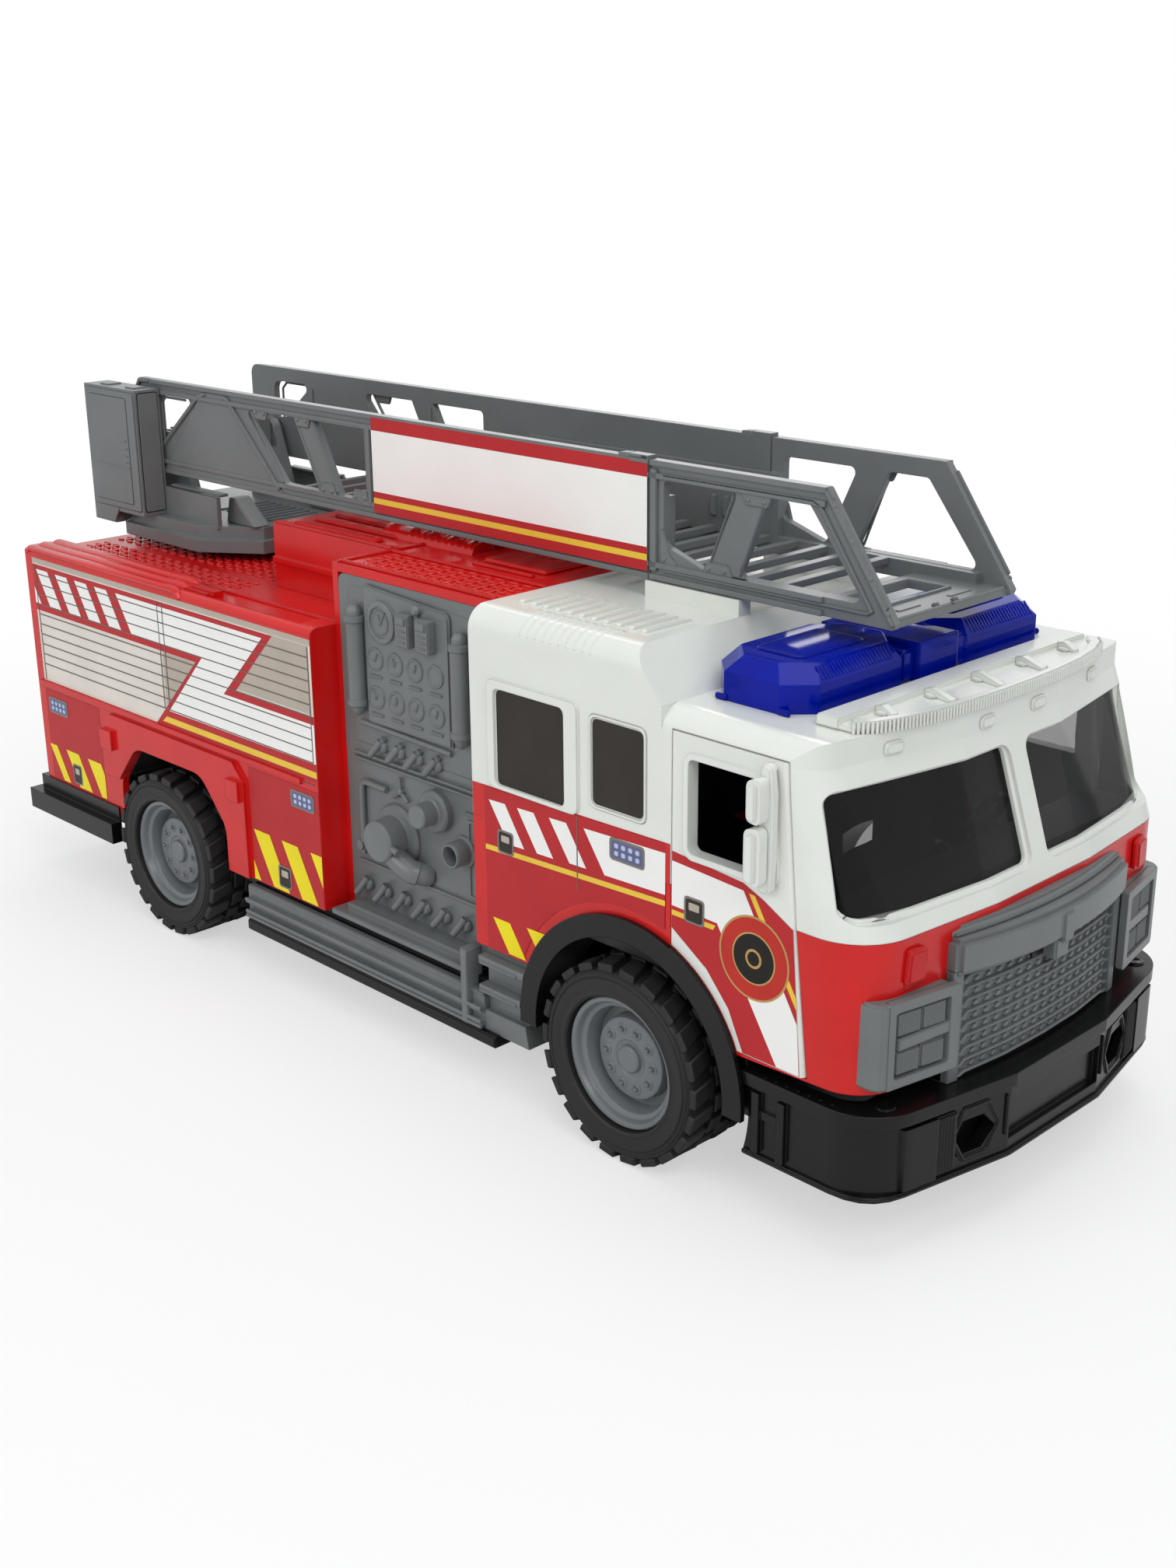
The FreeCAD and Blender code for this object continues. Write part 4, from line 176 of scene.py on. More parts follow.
# making meshes in millimetres
def rounded(outline):  # corners given as (a, b, radius) become short arcs
    points, count, steps = [], len(outline), 5
    for k, corner in enumerate(outline):
        here = Vector(corner[:2])
        radius = corner[2] if len(corner) > 2 else 0
        if radius <= 0:
            points.append(here)
            continue
        before, after = Vector(outline[k - 1][:2]) - here, Vector(outline[(k + 1) % count][:2]) - here
        half = before.angle(after) / 2
        reach = min(radius / math.tan(half), before.length * 0.49, after.length * 0.49)
        start, end = here + before.normalized() * reach, here + after.normalized() * reach
        for s in range(steps + 1):
            t = s / steps
            points.append(start * (1 - t) ** 2 + here * 2 * t * (1 - t) + end * t ** 2)
    return points


def rectangle(x0, x1, z0, z1, radius=0):  # one corner radius, or four in turn
    radii = radius if isinstance(radius, tuple) else (radius,) * 4
    return [(x, z, r) for x, z, r in zip((x0, x1, x1, x0), (z0, z0, z1, z1), radii)]


def oval(x, z, across, up, count):
    angles = [2 * math.pi * k / count for k in range(count)]
    return [(x + across * math.cos(a), z + up * math.sin(a)) for a in angles]


def halfRound(across, up, steps=4):
    angles = [math.pi * k / steps for k in range(steps + 1)]
    return [(across * math.cos(a), up * math.sin(a)) for a in angles]


def plane(name, a, b, c):  # puts outline numbers (a, b) and depth c on the axes of a named plane
    return {"XZ": (a, c, b), "XY": (a, b, c), "YZ": (c, a, b)}[name]


def bridge(part, one, two, count):  # faces between two rings, either of which may be a single point
    for k in range(count):
        n = (k + 1) % count
        if len(one) == 1 and len(two) > 1:
            part.faces.new((one[0], two[k], two[n]))
        elif len(two) == 1 and len(one) > 1:
            part.faces.new((one[k], two[0], one[n]))
        elif len(one) > 1:
            part.faces.new((one[k], two[k], two[n], one[n]))


class Piece:  # gathers shapes, in its own look or another, into one mesh that rides one body
    def __init__(self, name, owner="root", look="greyPlastic"):
        self.name, self.owner, self.look, self.mesh, self.finishes = name, owner, look, bmesh.new(), []

    def join(self, part, edge=0, steps=2, turn=None, look=None):
        if edge:
            sharp = [e for e in part.edges if e.is_manifold and e.calc_face_angle(0) > 0.6]
            bmesh.ops.bevel(part, geom=sharp, offset=edge, segments=steps, affect="EDGES", clamp_overlap=True)
        bmesh.ops.recalc_face_normals(part, faces=part.faces)
        if turn:
            bmesh.ops.transform(part, matrix=turn, verts=part.verts)
        look = look or self.look
        if look not in self.finishes:
            self.finishes.append(look)
        for face in part.faces:
            face.material_index = self.finishes.index(look)
            face.smooth = True
        spare = bpy.data.meshes.new("spare")
        part.to_mesh(spare)
        part.free()
        self.mesh.from_mesh(spare)
        bpy.data.meshes.remove(spare)

    def prism(self, outline, on, low, high, edge=0, steps=2, turn=None, holes=(), look=None):
        part, rims = bmesh.new(), []
        for loop in [rounded(outline)] + [rounded(hole) for hole in holes]:
            verts = [part.verts.new(plane(on, p.x, p.y, low)) for p in loop]
            for k, v in enumerate(verts):
                rims.append(part.edges.new((v, verts[(k + 1) % len(verts)])))
        if holes:
            bmesh.ops.triangle_fill(part, edges=rims, use_beauty=True)
        else:
            part.faces.new(part.verts)
        made = bmesh.ops.extrude_face_region(part, geom=part.faces[:], use_keep_orig=True)["geom"]
        bmesh.ops.translate(part, vec=Vector(plane(on, 0, 0, high - low)),
                            verts=[g for g in made if isinstance(g, bmesh.types.BMVert)])
        self.join(part, edge, steps, turn, look)

    def block(self, x, y, z, edge=0, steps=2, turn=None, look=None):
        self.prism(rectangle(*x, *z), "XZ", *y, edge, steps, turn, look=look)

    def lathe(self, profile, centre, along, count=48, turn=None, closed=True):  # (radius, place) pairs
        part, rings = bmesh.new(), []
        for radius, place in profile:
            ring = []
            for k in range(count if radius > 1e-6 else 1):
                a = 2 * math.pi * k / count
                p, q = radius * math.cos(a), radius * math.sin(a)
                spot = {"Y": (q, place, p), "Z": (p, q, place)}[along]
                ring.append(part.verts.new(Vector(spot) + Vector(centre)))
            rings.append(ring)
        pairs = list(zip(rings, rings[1:]))
        if closed and len(rings[0]) > 1 and len(rings[-1]) > 1:
            pairs.append((rings[-1], rings[0]))
        for one, two in pairs:
            bridge(part, one, two, count)
        self.join(part, turn=turn)

    def tube(self, path, radius, count=12, flat=1.0, look=None):  # a capped round bar along points
        part, points, rings = bmesh.new(), [Vector(p) for p in path], []
        for k, point in enumerate(points):
            ahead = points[min(k + 1, len(points) - 1)] - points[max(k - 1, 0)]
            ahead.normalize()
            side = ahead.cross(Vector((0, 0, 1)))
            if side.length < 0.01:
                side = ahead.cross(Vector((1, 0, 0)))
            side.normalize()
            over = side.cross(ahead)
            rings.append([part.verts.new(point + side * radius * math.cos(2 * math.pi * s / count)
                                         + over * radius * flat * math.sin(2 * math.pi * s / count))
                          for s in range(count)])
        for one, two in zip(rings, rings[1:]):
            bridge(part, one, two, count)
        part.faces.new(rings[0])
        part.faces.new(rings[-1])
        self.join(part, radius * 0.3, look=look)

    def repeat(self, kind, draw, settings, turn=None, bend=None, path=()):  # copies made by a node tree
        small, data = Piece("small"), bpy.data.meshes.new("small")
        draw(small)
        small.mesh.to_mesh(data)
        small.mesh.free()
        shape, (tree, keys) = linked("small", data), trees[kind]
        data = bpy.data.meshes.new("carrier")
        data.from_pydata([tuple(p) for p in path], [(k, k + 1) for k in range(len(path) - 1)], [])
        carrier = linked("carrier", data)
        modifier = carrier.modifiers.new("copies", "NODES")
        modifier.node_group = tree
        for label, value in {**settings, "Shape": shape}.items():
            modifier[keys[label]] = value
        bpy.context.view_layer.update()
        made = bpy.data.meshes.new_from_object(carrier.evaluated_get(bpy.context.evaluated_depsgraph_get()))
        for thing in (carrier, shape):
            bpy.data.objects.remove(thing)
        part = bmesh.new()
        part.from_mesh(made)
        bmesh.ops.remove_doubles(part, verts=part.verts, dist=1e-5)
        if turn:
            bmesh.ops.transform(part, matrix=turn, verts=part.verts)
        if bend:
            for vert in part.verts:
                vert.co = bend(vert.co)
        self.join(part)

    def done(self, replaced=()):
        data = bpy.data.meshes.new(self.name)
        bmesh.ops.scale(self.mesh, vec=(mm, mm, mm), verts=self.mesh.verts)
        self.mesh.to_mesh(data)
        self.mesh.free()
        for look in self.finishes:
            data.materials.append(finish[look])
        data.set_sharp_from_angle(angle=math.radians(32))
        thing = linked(self.name, data)
        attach(thing, self.owner)
        if replaced:
            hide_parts(*replaced)


def makeTree(name, sockets, kinds, links):  # Geometry Nodes that copy one small shape to points
    tree = bpy.data.node_groups.new(name, "GeometryNodeTree")
    face = tree.interface.new_socket
    face(name="Geometry", in_out="INPUT", socket_type="NodeSocketGeometry")
    keys = {label: face(name=label, in_out="INPUT", socket_type="NodeSocket" + kind).identifier
            for label, kind in {"Shape": "Object", **sockets}.items()}
    face(name="Geometry", in_out="OUTPUT", socket_type="NodeSocketGeometry")
    kinds = {"given": "NodeGroupInput", "taken": "NodeGroupOutput", "info": "GeometryNodeObjectInfo",
             "put": "GeometryNodeInstanceOnPoints", "real": "GeometryNodeRealizeInstances", **kinds}
    parts = {label: tree.nodes.new(kind) for label, kind in kinds.items()}
    links = (("given", "Shape", "info", "Object"), ("info", "Geometry", "put", "Instance"),
             ("put", "Instances", "real", "Geometry"), ("real", "Geometry", "taken", "Geometry")) + links
    wire(tree, *((parts[source], out, parts[target], into) for source, out, target, into in links))
    return tree, keys, parts


def makeRingTree():  # copies round a circle, each turned to face outwards
    tree, keys, parts = makeTree(
        "copiesRound", {"Count": "Int", "Radius": "Float"},
        {"ring": "GeometryNodeMeshCircle", "index": "GeometryNodeInputIndex", "share": "ShaderNodeMath",
         "turn": "ShaderNodeMath", "angle": "ShaderNodeCombineXYZ"},
        (("given", "Count", "ring", "Vertices"), ("given", "Radius", "ring", "Radius"),
         ("index", "Index", "share", 0), ("given", "Count", "share", 1), ("share", "Value", "turn", 0),
         ("turn", "Value", "angle", "Z"), ("ring", "Mesh", "put", "Points"),
         ("angle", "Vector", "put", "Rotation")))
    parts["share"].operation, parts["turn"].operation = "DIVIDE", "MULTIPLY"
    parts["turn"].inputs[1].default_value = 2 * math.pi
    return tree, keys


def makeGridTree():  # rows and columns
    return makeTree(
        "copiesInRows", {"Across": "Int", "Down": "Int", "Width": "Float", "Height": "Float"},
        {"grid": "GeometryNodeMeshGrid"},
        (("given", "Across", "grid", "Vertices X"), ("given", "Down", "grid", "Vertices Y"),
         ("given", "Width", "grid", "Size X"), ("given", "Height", "grid", "Size Y"),
         ("grid", "Mesh", "put", "Points")))[:2]


def makePathTree():  # copies evenly along a line, each turned to follow it
    tree, keys, parts = makeTree(
        "copiesAlong", {"Count": "Int"},
        {"curve": "GeometryNodeMeshToCurve", "points": "GeometryNodeCurveToPoints",
         "aim": "FunctionNodeAlignRotationToVector"},
        (("given", "Geometry", "curve", "Mesh"), ("curve", "Curve", "points", "Curve"),
         ("given", "Count", "points", "Count"), ("points", "Points", "put", "Points"),
         ("points", "Tangent", "aim", "Vector"), ("aim", "Rotation", "put", "Rotation")))
    parts["aim"].axis, parts["aim"].pivot_axis = "X", "Z"
    return tree, keys


trees = {"round": makeRingTree(), "rows": makeGridTree(), "along": makePathTree()}


def moved(x, y, z):
    return Matrix.Translation((x, y, z))


def spun(axis, degrees):
    return Matrix.Rotation(math.radians(degrees), 4, axis)


def turned(axis, degrees, about):
    return Matrix.Translation(about) @ spun(axis, degrees) @ Matrix.Translation(-Vector(about))


def across(hand, near, far):  # a low and a high y on one side of the centre plane
    return sorted((hand * near, hand * far))


# printed films on the sides
archMiddle = (196.8, 30.5)  # front axle in the side drawings


def arc(radius, start, end, steps=9):
    angles = [math.radians(start + (end - start) * k / steps) for k in range(steps + 1)]
    return [(archMiddle[0] + radius * math.cos(a), archMiddle[1] + radius * math.sin(a)) for a in angles]


def film(piece, hand, layer, material, outline, face=sideY, thick=0.03):
    shape = [(zeroX + p[0], zeroZ + p[1]) + tuple(p[2:]) for p in outline]
    low = face + 0.01 + thick * layer
    piece.prism(shape, "XZ", hand * low, hand * (low + thick), look=material)


def slanted(x0, x1, top, low, lean):  # a bar that leans forward on its way down
    return [(x0, top), (x1, top), (x1 + lean, low), (x0 + lean, low)]


def lampFilm(piece, hand, x0, x1, z0, z1, layer=5):  # a printed warning lamp with two rows of lights
    film(piece, hand, layer, "printFrame", rectangle(x0, x1, z0, z1, 1.1))
    film(piece, hand, layer + 1, "printLamp", rectangle(x0 + 0.6, x1 - 0.6, z0 + 0.6, z1 - 0.6, 0.8))
    for column in range(4):
        for row in range(2):
            x, z = x0 + (x1 - x0) * (column + 1) / 5, z0 + (z1 - z0) * (row + 1) / 3
            film(piece, hand, layer + 2, "printSpot", rectangle(x - 0.6, x + 0.6, z - 0.55, z + 0.55, 0.4))


def handleFilm(piece, hand, x0, x1, z0, z1, layer=5):  # a printed hatch handle
    film(piece, hand, layer, "printFrame", rectangle(x0, x1, z0, z1, 1.0))
    film(piece, hand, layer + 1, "printWindow", rectangle(x0 + 0.5, x1 - 0.5, z0 + 0.5, z1 - 0.5, 0.8))
    film(piece, hand, layer + 2, "printTaupe", rectangle(x0 + 1.4, x1 - 1.4, (z0 + z1) / 2, z1 - 1.3, 0.3))


bodyFilm = {"front": 82.9, "louvreTop": 103.5, "louvrePitch": 3.18, "louvres": 12, "louvreHeight": 0.34}


def addBodyFilm(name, hand):
    piece, front = Piece("body_film_" + name), bodyFilm["front"]
    paint = partial(film, piece, hand)
    paint(0, "printPale", rectangle(-58, front, 69.3, 108.2))
    paint(1, "printTaupe", [(46, 88), (82, 88), (82, 106.4), (64.6, 106.4)])
    paint(1, "printTaupe", rectangle(-58, front, 106.6, 108.2))
    paint(1, "printTaupe", [(12.2, 91.9), (14, 91.9), (29.4, 91.9), (12.2, 75)])
    paint(2, "printRed", [(-58, 106.2), (66.5, 106.2), (48, 87.5), (front, 87.5), (front, 69.3), (6.2, 69.3),
                          (29, 91.8), (-58, 91.8)])
    paint(3, "printWhite", [(-10.5, 104.8), (61.8, 104.8), (42, 85.3), (front, 85.3), (front, 74.5),
                            (13.5, 74.3), (32.5, 93.8), (-3.5, 93.8)])
    paint(3, "printWhite", [(-58, 99), (-58, 94), (-54.8, 94)])
    for start in (-56, -44.7, -33.5, -22.2):
        paint(3, "printWhite", slanted(start, start + 6.6, 104.8, 94, 6.5))
    paint(3, "printStraw", [(11.8, 72.3), (front, 72.3), (front, 70.5), (9.6, 70.5)])
    paint(4, "printWhite", rectangle(11.8, 13.6, 95.8, 104.6))
    for k in range(bodyFilm["louvres"]):
        z = bodyFilm["louvreTop"] - k * bodyFilm["louvrePitch"]
        if z > 74 or k == bodyFilm["louvres"] - 1:  # the straw line hides the one between
            paint(4, "printLine", rectangle(-56.3, 81.6, z - bodyFilm["louvreHeight"], z))
    for x in (11.2, 13.7, -56.8, 81.6):
        paint(5, "printLine", rectangle(x, x + 0.35, 74.6 if x > 0 else 69.6, 106.2))
    paint(1, "printRed", rectangle(-58.4, -26.6, 37, 66.5))
    paint(1, "printRed", rectangle(51, front, 33.4, 66.5))
    paint(3, "printYellow", [(-58.4, 48.2), (-54.5, 48.2), (-48, 37.2), (-51.9, 37.2), (-58.4, 47.6)])
    paint(3, "printYellow", slanted(-48.8, -41.5, 48.2, 37.2, 6.5))
    paint(3, "printYellow", [(-36, 48.2), (-28.5, 48.2), (-26.6, 45), (-26.6, 37.2), (-29.5, 37.2)])
    paint(3, "printYellow", slanted(52, 59.3, 48.5, 33.4, 8))
    paint(3, "printYellow", slanted(65, 72.2, 48.5, 33.4, 8))
    paint(3, "printYellow", [(78, 48.5), (front, 48.5), (front, 39.4)])
    paint(3, "printYellow", [(51, 39), (53.9, 33.4), (51, 33.4)])
    lampFilm(piece, hand, -56.5, -45.5, 59, 64.2)
    lampFilm(piece, hand, 70.5, 81, 60, 65)
    handleFilm(piece, hand, -45.7, -40.5, 38, 44.5)
    handleFilm(piece, hand, 62.7, 68.5, 34.5, 41)
    piece.done()


def addCrewFilm(name, hand):  # crew cabin side: red field, prints and the two dark windows in raised frames
    piece = Piece("crew_side_" + name, look="whitePlastic")
    paint = partial(film, piece, hand)
    paint(0, "redPlastic", [(145.2, 77.2), (209.3, 77.2), (209.3, 86.7), (149, 85.5), (145.2, 85.4)],
          thick=0.12)
    field = [(149.5, 85.2), (208, 86.5)] + arc(37.6, 72.8, 158.8) + [(149.5, 44)]
    paint(4, "printRed", field)
    for start, low in ((151, 72.6), (160.8, 73), (171.6, 73.6)):
        paint(5, "printWhite", [(start, 82.2 + (start - 150) / 28), (start + 5.6, 82.4 + (start - 150) / 28),
                                (start + 12, low + 0.2), (start + 6.6, low)])
    paint(5, "printWhite", [(182.9, 83.4), (208, 84.3), (208, 74.6), (189.5, 73.9)])
    paint(5, "printStraw", [(149.5, 70.7), (208, 73.2), (208, 71.9), (149.5, 69.4)])
    paint(5, "printYellow", slanted(151.5, 157.4, 52.3, 44.2, 5.5))
    paint(5, "printYellow", [(163.4, 53), (170.6, 53.2), (170.2, 50.9), (167.9, 46.8)])
    # painted shade: a thin dark line drawn where the panel groove lies in shadow
    paint(6, "printLine", rectangle(180.6, 180.95, 67.5, 85.8))
    lampFilm(piece, hand, 191.1, 201.9, 78.4, 83.8, layer=7)
    handleFilm(piece, hand, 153.8, 159.4, 69.8, 75.7, layer=7)
    paint(0, "printWindow", rectangle(154.3, 176.8, 86.9, 110, 1.6), thick=0.05)
    paint(0, "printWindow", rectangle(185.8, 201.3, 90.1, 110, 1.6), thick=0.05)
    frames = ((rectangle(151.5, 181.5, 85.9, 112.4, 2.4), rectangle(154, 177.2, 87, 110.3, 1.8), 0.8),
              (rectangle(184.6, 202.4, 88.9, 111.2, 2.4), rectangle(185.6, 201.5, 89.9, 110.2, 1.8), 0.35))
    for outer, inner, proud in frames:
        shift = [[(zeroX + x, zeroZ + z, r) for x, z, r in loop] for loop in (outer, inner)]
        piece.prism(shift[0], "XZ", hand * (sideY - 0.2), hand * (sideY + proud), 0.25, holes=[shift[1]])
    piece.done()


def addDoorFilm(name, hand):
    piece = Piece("door_film_" + name, name + "_door")
    paint = partial(film, piece, hand)
    paint(1, "printRed", [(209.9, 85.4), (230, 83.8), (235.6, 81.5), (243.6, 77.2), (246.4, 44.7),
                          (230.8, 44.7), (226.6, 53.6), (220.2, 60.9), (209.9, 67.6)])
    paint(2, "printWhite", [(209.9, 83.2), (230.2, 82.1), (245.4, 56.3), (246.3, 44.8), (240.2, 44.8),
                            (223, 72.5), (209.9, 72.8)])
    paint(2, "printStraw", [(231.7, 81.9), (233.3, 81.8), (245, 62.2), (245.2, 59.4)])
    paint(2, "printStraw", [(209.9, 71.8), (222.6, 71.8), (221.9, 70.6), (209.9, 70.6)])
    badge = {"x": 233.4, "z": 67.6, "rings": (("printGold", 9.6), ("printOrange", 9.1), ("printGold", 5.9),
                                              ("printBlack", 5.5), ("printGold", 2.2), ("printBlack", 1.6))}
    for layer, (material, radius) in enumerate(badge["rings"]):
        paint(3 + layer, material, oval(badge["x"], badge["z"], radius, radius, 48))
    handleFilm(piece, hand, 213.6, 219.4, 70.2, 76.3)
    piece.done()


def addLadderSign(name, hand):  # the plain sign on the ladder's side
    piece = Piece("ladder_sign_" + name, "ladder_base")
    face = boxOf("ladder_base")[1][1] - 0.8
    outline = [(zeroX + x, zeroZ + z) for x, z, _ in rectangle(67, 168.3, 133.9, 159.3)]
    piece.prism(outline, "XZ", hand * (face - 0.2), hand * (face + 0.72))
    bands = (("printRed", 155.9, 159.3), ("printWhite", 139.6, 155.9), ("printRed", 133.9, 139.6),
             ("printStraw", 136.4, 137.9))
    for layer, (material, low, high) in enumerate(bands):
        film(piece, hand, layer // 3, material, rectangle(67, 168.3, low, high), face + 0.71, 0.02)
    piece.done()


for sideName, hand in sides:
    addBodyFilm(sideName, hand)
    addCrewFilm(sideName, hand)
    addDoorFilm(sideName, hand)
    addLadderSign(sideName, hand)
print("films on")


# wheels
tyreLook = {"blocks": 22, "blockWidth": 4.7, "blockDepth": 1.9, "shoulder": 6.6, "lean": 1.6}
rimLook = {"nuts": 10, "nutCircle": 7.3, "dish": 6.6, "disc": 3.3}


def drawShoulderBlock(small):
    w, d, s, lean = (tyreLook[k] for k in ("blockWidth", "blockDepth", "shoulder", "lean"))
    small.prism([(-w / 2, -0.25), (w / 2, -0.25), (w / 2 + lean, -s), (lean - w / 2 + 0.8, -s)], "YZ", -d, 0,
                0.3, 1)


def drawMiddleBlock(small):
    w, d = tyreLook["blockWidth"], tyreLook["blockDepth"]
    small.prism([(-w / 2, -7.5), (w / 2, -7.5), (w / 2 + 0.9, -11), (0.9 - w / 2, -11)], "YZ", -d, 0, 0.3, 1)


def drawNut(small):
    small.lathe([(1.35, 0), (1.35, 0.12), (1.1, 0.3), (0.85, 0.3), (0.75, 0.05), (0.55, 0.1), (0.45, 0.75),
                 (0.25, 0.95), (0, 0.98)], (0, 0, 0), "Z", 14, closed=False)


def addWheel(end, name, hand):
    x, y, z = boxOf(f"{end}_tyre_{name}")
    middleX, middleZ, radius = middle(x), middle(z), (x[1] - x[0]) / 2
    face, back = max(abs(y[0]), abs(y[1])), min(abs(y[0]), abs(y[1]))
    upright = spun("X", -90 * hand)
    piece = Piece(f"{end}_tyre_{name}_rubber", f"{end}_wheels", "rubber")
    side = [(16.35, 1.6), (16.4, 0.6), (16.9, 0.15), (17.5, 0.4), (18.3, 0.3), (20, 0.05), (20.6, 0.05),
            (20.75, 0.35), (21.1, 0.35), (21.25, 0.1), (21.6, 0.2), (21.75, 0.5), (22.1, 0.5), (22.3, 0.35),
            (22.7, 0.9), (22.9, 2)]
    profile = [(r, hand * (face - d)) for r, d in side] + [(r, hand * (back + d)) for r, d in reversed(side)]
    piece.lathe(profile, (middleX, 0, middleZ), "Y", 72)
    for edgeY, flip in ((face, 1), (back, -1)):
        for draw, offset in ((drawShoulderBlock, 0), (drawMiddleBlock, 0.5)):
            spin = 360 / tyreLook["blocks"] * (offset + (0.5 if flip < 0 else 0))
            put = moved(middleX, hand * edgeY, middleZ) @ upright
            put = put @ Matrix.Scale(flip, 4, (0, 0, 1)) @ spun("Z", spin)
            piece.repeat("round", draw, {"Count": tyreLook["blocks"], "Radius": radius - 0.3}, put)
    piece.done([f"{end}_tyre_{name}"])
    x, y, z = boxOf(f"{end}_rim_{name}")
    face, back = max(abs(y[0]), abs(y[1])), min(abs(y[0]), abs(y[1]))
    piece = Piece(f"{end}_rim_{name}_dish", f"{end}_wheels", "rimPlastic")
    dish, disc = rimLook["dish"], rimLook["disc"]
    front = [(0, disc - 0.9), (2.9, disc - 0.85), (3.3, disc - 0.5), (3.45, disc + 0.3), (4.3, disc + 0.3),
             (4.7, disc), (9.4, disc), (9.9, disc + 0.25), (10.1, disc + 0.8), (10.3, dish), (12.4, dish),
             (12.9, 2.6), (13.1, 2.2), (14.1, 1.8), (14.35, 1.3), (14.5, 0.45), (14.9, 0), (15.8, 0),
             (16.2, 0.5), (16.2, 3)]
    rear = [(16.2, hand * (back + 0.5)), (15.7, hand * back), (0, hand * back)]
    profile = [(r, hand * (face - d)) for r, d in front] + rear
    piece.lathe(profile, (middleX, 0, middleZ), "Y", 72, closed=False)
    piece.repeat("round", drawNut, {"Count": rimLook["nuts"], "Radius": rimLook["nutCircle"]},
                 moved(middleX, hand * (face - disc), middleZ) @ upright)
    piece.done([f"{end}_rim_{name}"])


for end in ("rear", "front"):
    for sideName, hand in sides:
        addWheel(end, sideName, hand)
print("wheels on")


# cab front: grille, headlights, visor, light bar, mirrors, windscreen and bumper
def onFront(x, y, z):  # a flat pattern stood up to face forward
    return Matrix.Translation((x, y, z)) @ Matrix(((0, 0, 1, 0), (1, 0, 0, 0), (0, 1, 0, 0), (0, 0, 0, 1)))


def flutesAt(hand, x, y, z):  # rows of upright flutes stood up to face forward
    return moved(x, y, z) @ Matrix(((0, 1, 0, 0), (-hand, 0, 0, 0), (0, 0, 1, 0), (0, 0, 0, 1)))


def leaning(hand, slope, start):  # x drops by slope for each millimetre of y beyond start
    return Matrix(((1, -hand * slope, 0, slope * start), (0, 1, 0, 0), (0, 0, 1, 0), (0, 0, 0, 1)))


def meet(node, start, along):  # where a straight line first meets a CAD node, in millimetres
    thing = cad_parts[node]
    found, place, normal, _ = thing.ray_cast(Vector(start) * mm, Vector(along))
    return (place / mm, normal) if found else (Vector(start), Vector(along) * -1)


bpy.context.view_layer.update()
grilleBox, lampBox, bumperBox = boxOf("grille"), boxOf("headlight_right"), boxOf("front_bumper")


def addGrille():
    settings = {"half": 33.0, "bow": 3.0, "hoodBow": 5.0, "louvre": grilleBox[0][1] - 3.9,
                "low": grilleBox[2][0], "hoodLow": 59.7, "ridges": 9, "pitch": 2.82, "bumps": 17,
                "bumpPitch": 3.5, "frame": 3.2}
    s, front, piece = settings, grilleBox[0][1], Piece("grille_detail")

    def curved(proud, bow, low=-s["half"], high=s["half"], back=158.0):
        ys = [low + (high - low) * k / 16 for k in range(17)]
        return [(proud - bow * (y / s["half"]) ** 2, y) for y in ys] + [(back, high), (back, low)]

    def bent(v):
        return Vector((v.x - s["bow"] * (v.y / s["half"]) ** 2, v.y, v.z))

    piece.prism(curved(s["louvre"] - 1.2, s["bow"]), "XY", s["low"], s["hoodLow"] + 1)
    piece.prism(curved(front, s["hoodBow"]), "XY", s["hoodLow"], 68.0, 1.1, 4)
    piece.prism(curved(front - 3.4, s["hoodBow"] - 1.2), "XY", 67, 70.0, 1.2, 3)
    for hand in (-1, 1):
        inner, outer = across(hand, s["half"] - s["frame"], s["half"])
        piece.prism(curved(s["louvre"] + 0.5, s["bow"], inner, outer), "XY", s["low"], s["hoodLow"] + 1, 0.3)
    for k in range(s["ridges"]):  # thin wavy louvre edges that step down near their ends
        z = s["low"] + 1.0 + k * s["pitch"]
        ends = [(-29.8, -1.1), (-28.4, -1.0), (-27.2, 0), (-14, 0), (0, 0.15), (14, 0), (27.2, 0),
                (28.4, -1.0), (29.8, -1.1)]
        piece.tube([bent(Vector((s["louvre"] - 0.75, y, max(s["low"] + 0.5, z + dz)))) for y, dz in ends],
                   0.75, 8, 0.62)

    def bump(small):
        small.prism([(-0.85, -0.55), (0.75, -0.55), (0.85, 0.5), (0.1, 0.6)], "XY", -0.2, 0.75, 0.18, 1)

    rows = s["ridges"] - 1
    middleZ = s["low"] + 1.0 + s["pitch"] * s["ridges"] / 2 - s["pitch"] / 2
    grid = {"Across": s["bumps"], "Down": rows, "Width": (s["bumps"] - 1) * s["bumpPitch"],
            "Height": (rows - 1) * s["pitch"]}
    piece.repeat("rows", bump, grid, onFront(s["louvre"] - 1.2, 0, middleZ), bent)
    piece.block((165, front - 0.9), (-2.7, 2.7), (55.0, 60.4), 0.5, 3)
    piece.prism(rectangle(-1.9, 1.9, 59.4, 66.2, 0.6), "YZ", front - 1, front + 0.5, 0.3)
    for y0, y1, z0, z1 in ((-7.2, -2.8, 56.4, 59.6), (2.8, 13, 58.3, 59.7), (-20, -7.2, 59.0, 59.7)):
        piece.block((162, s["louvre"] - 0.05), (y0, y1), (z0, z1), look="printBlack")
    piece.done(("grille",))


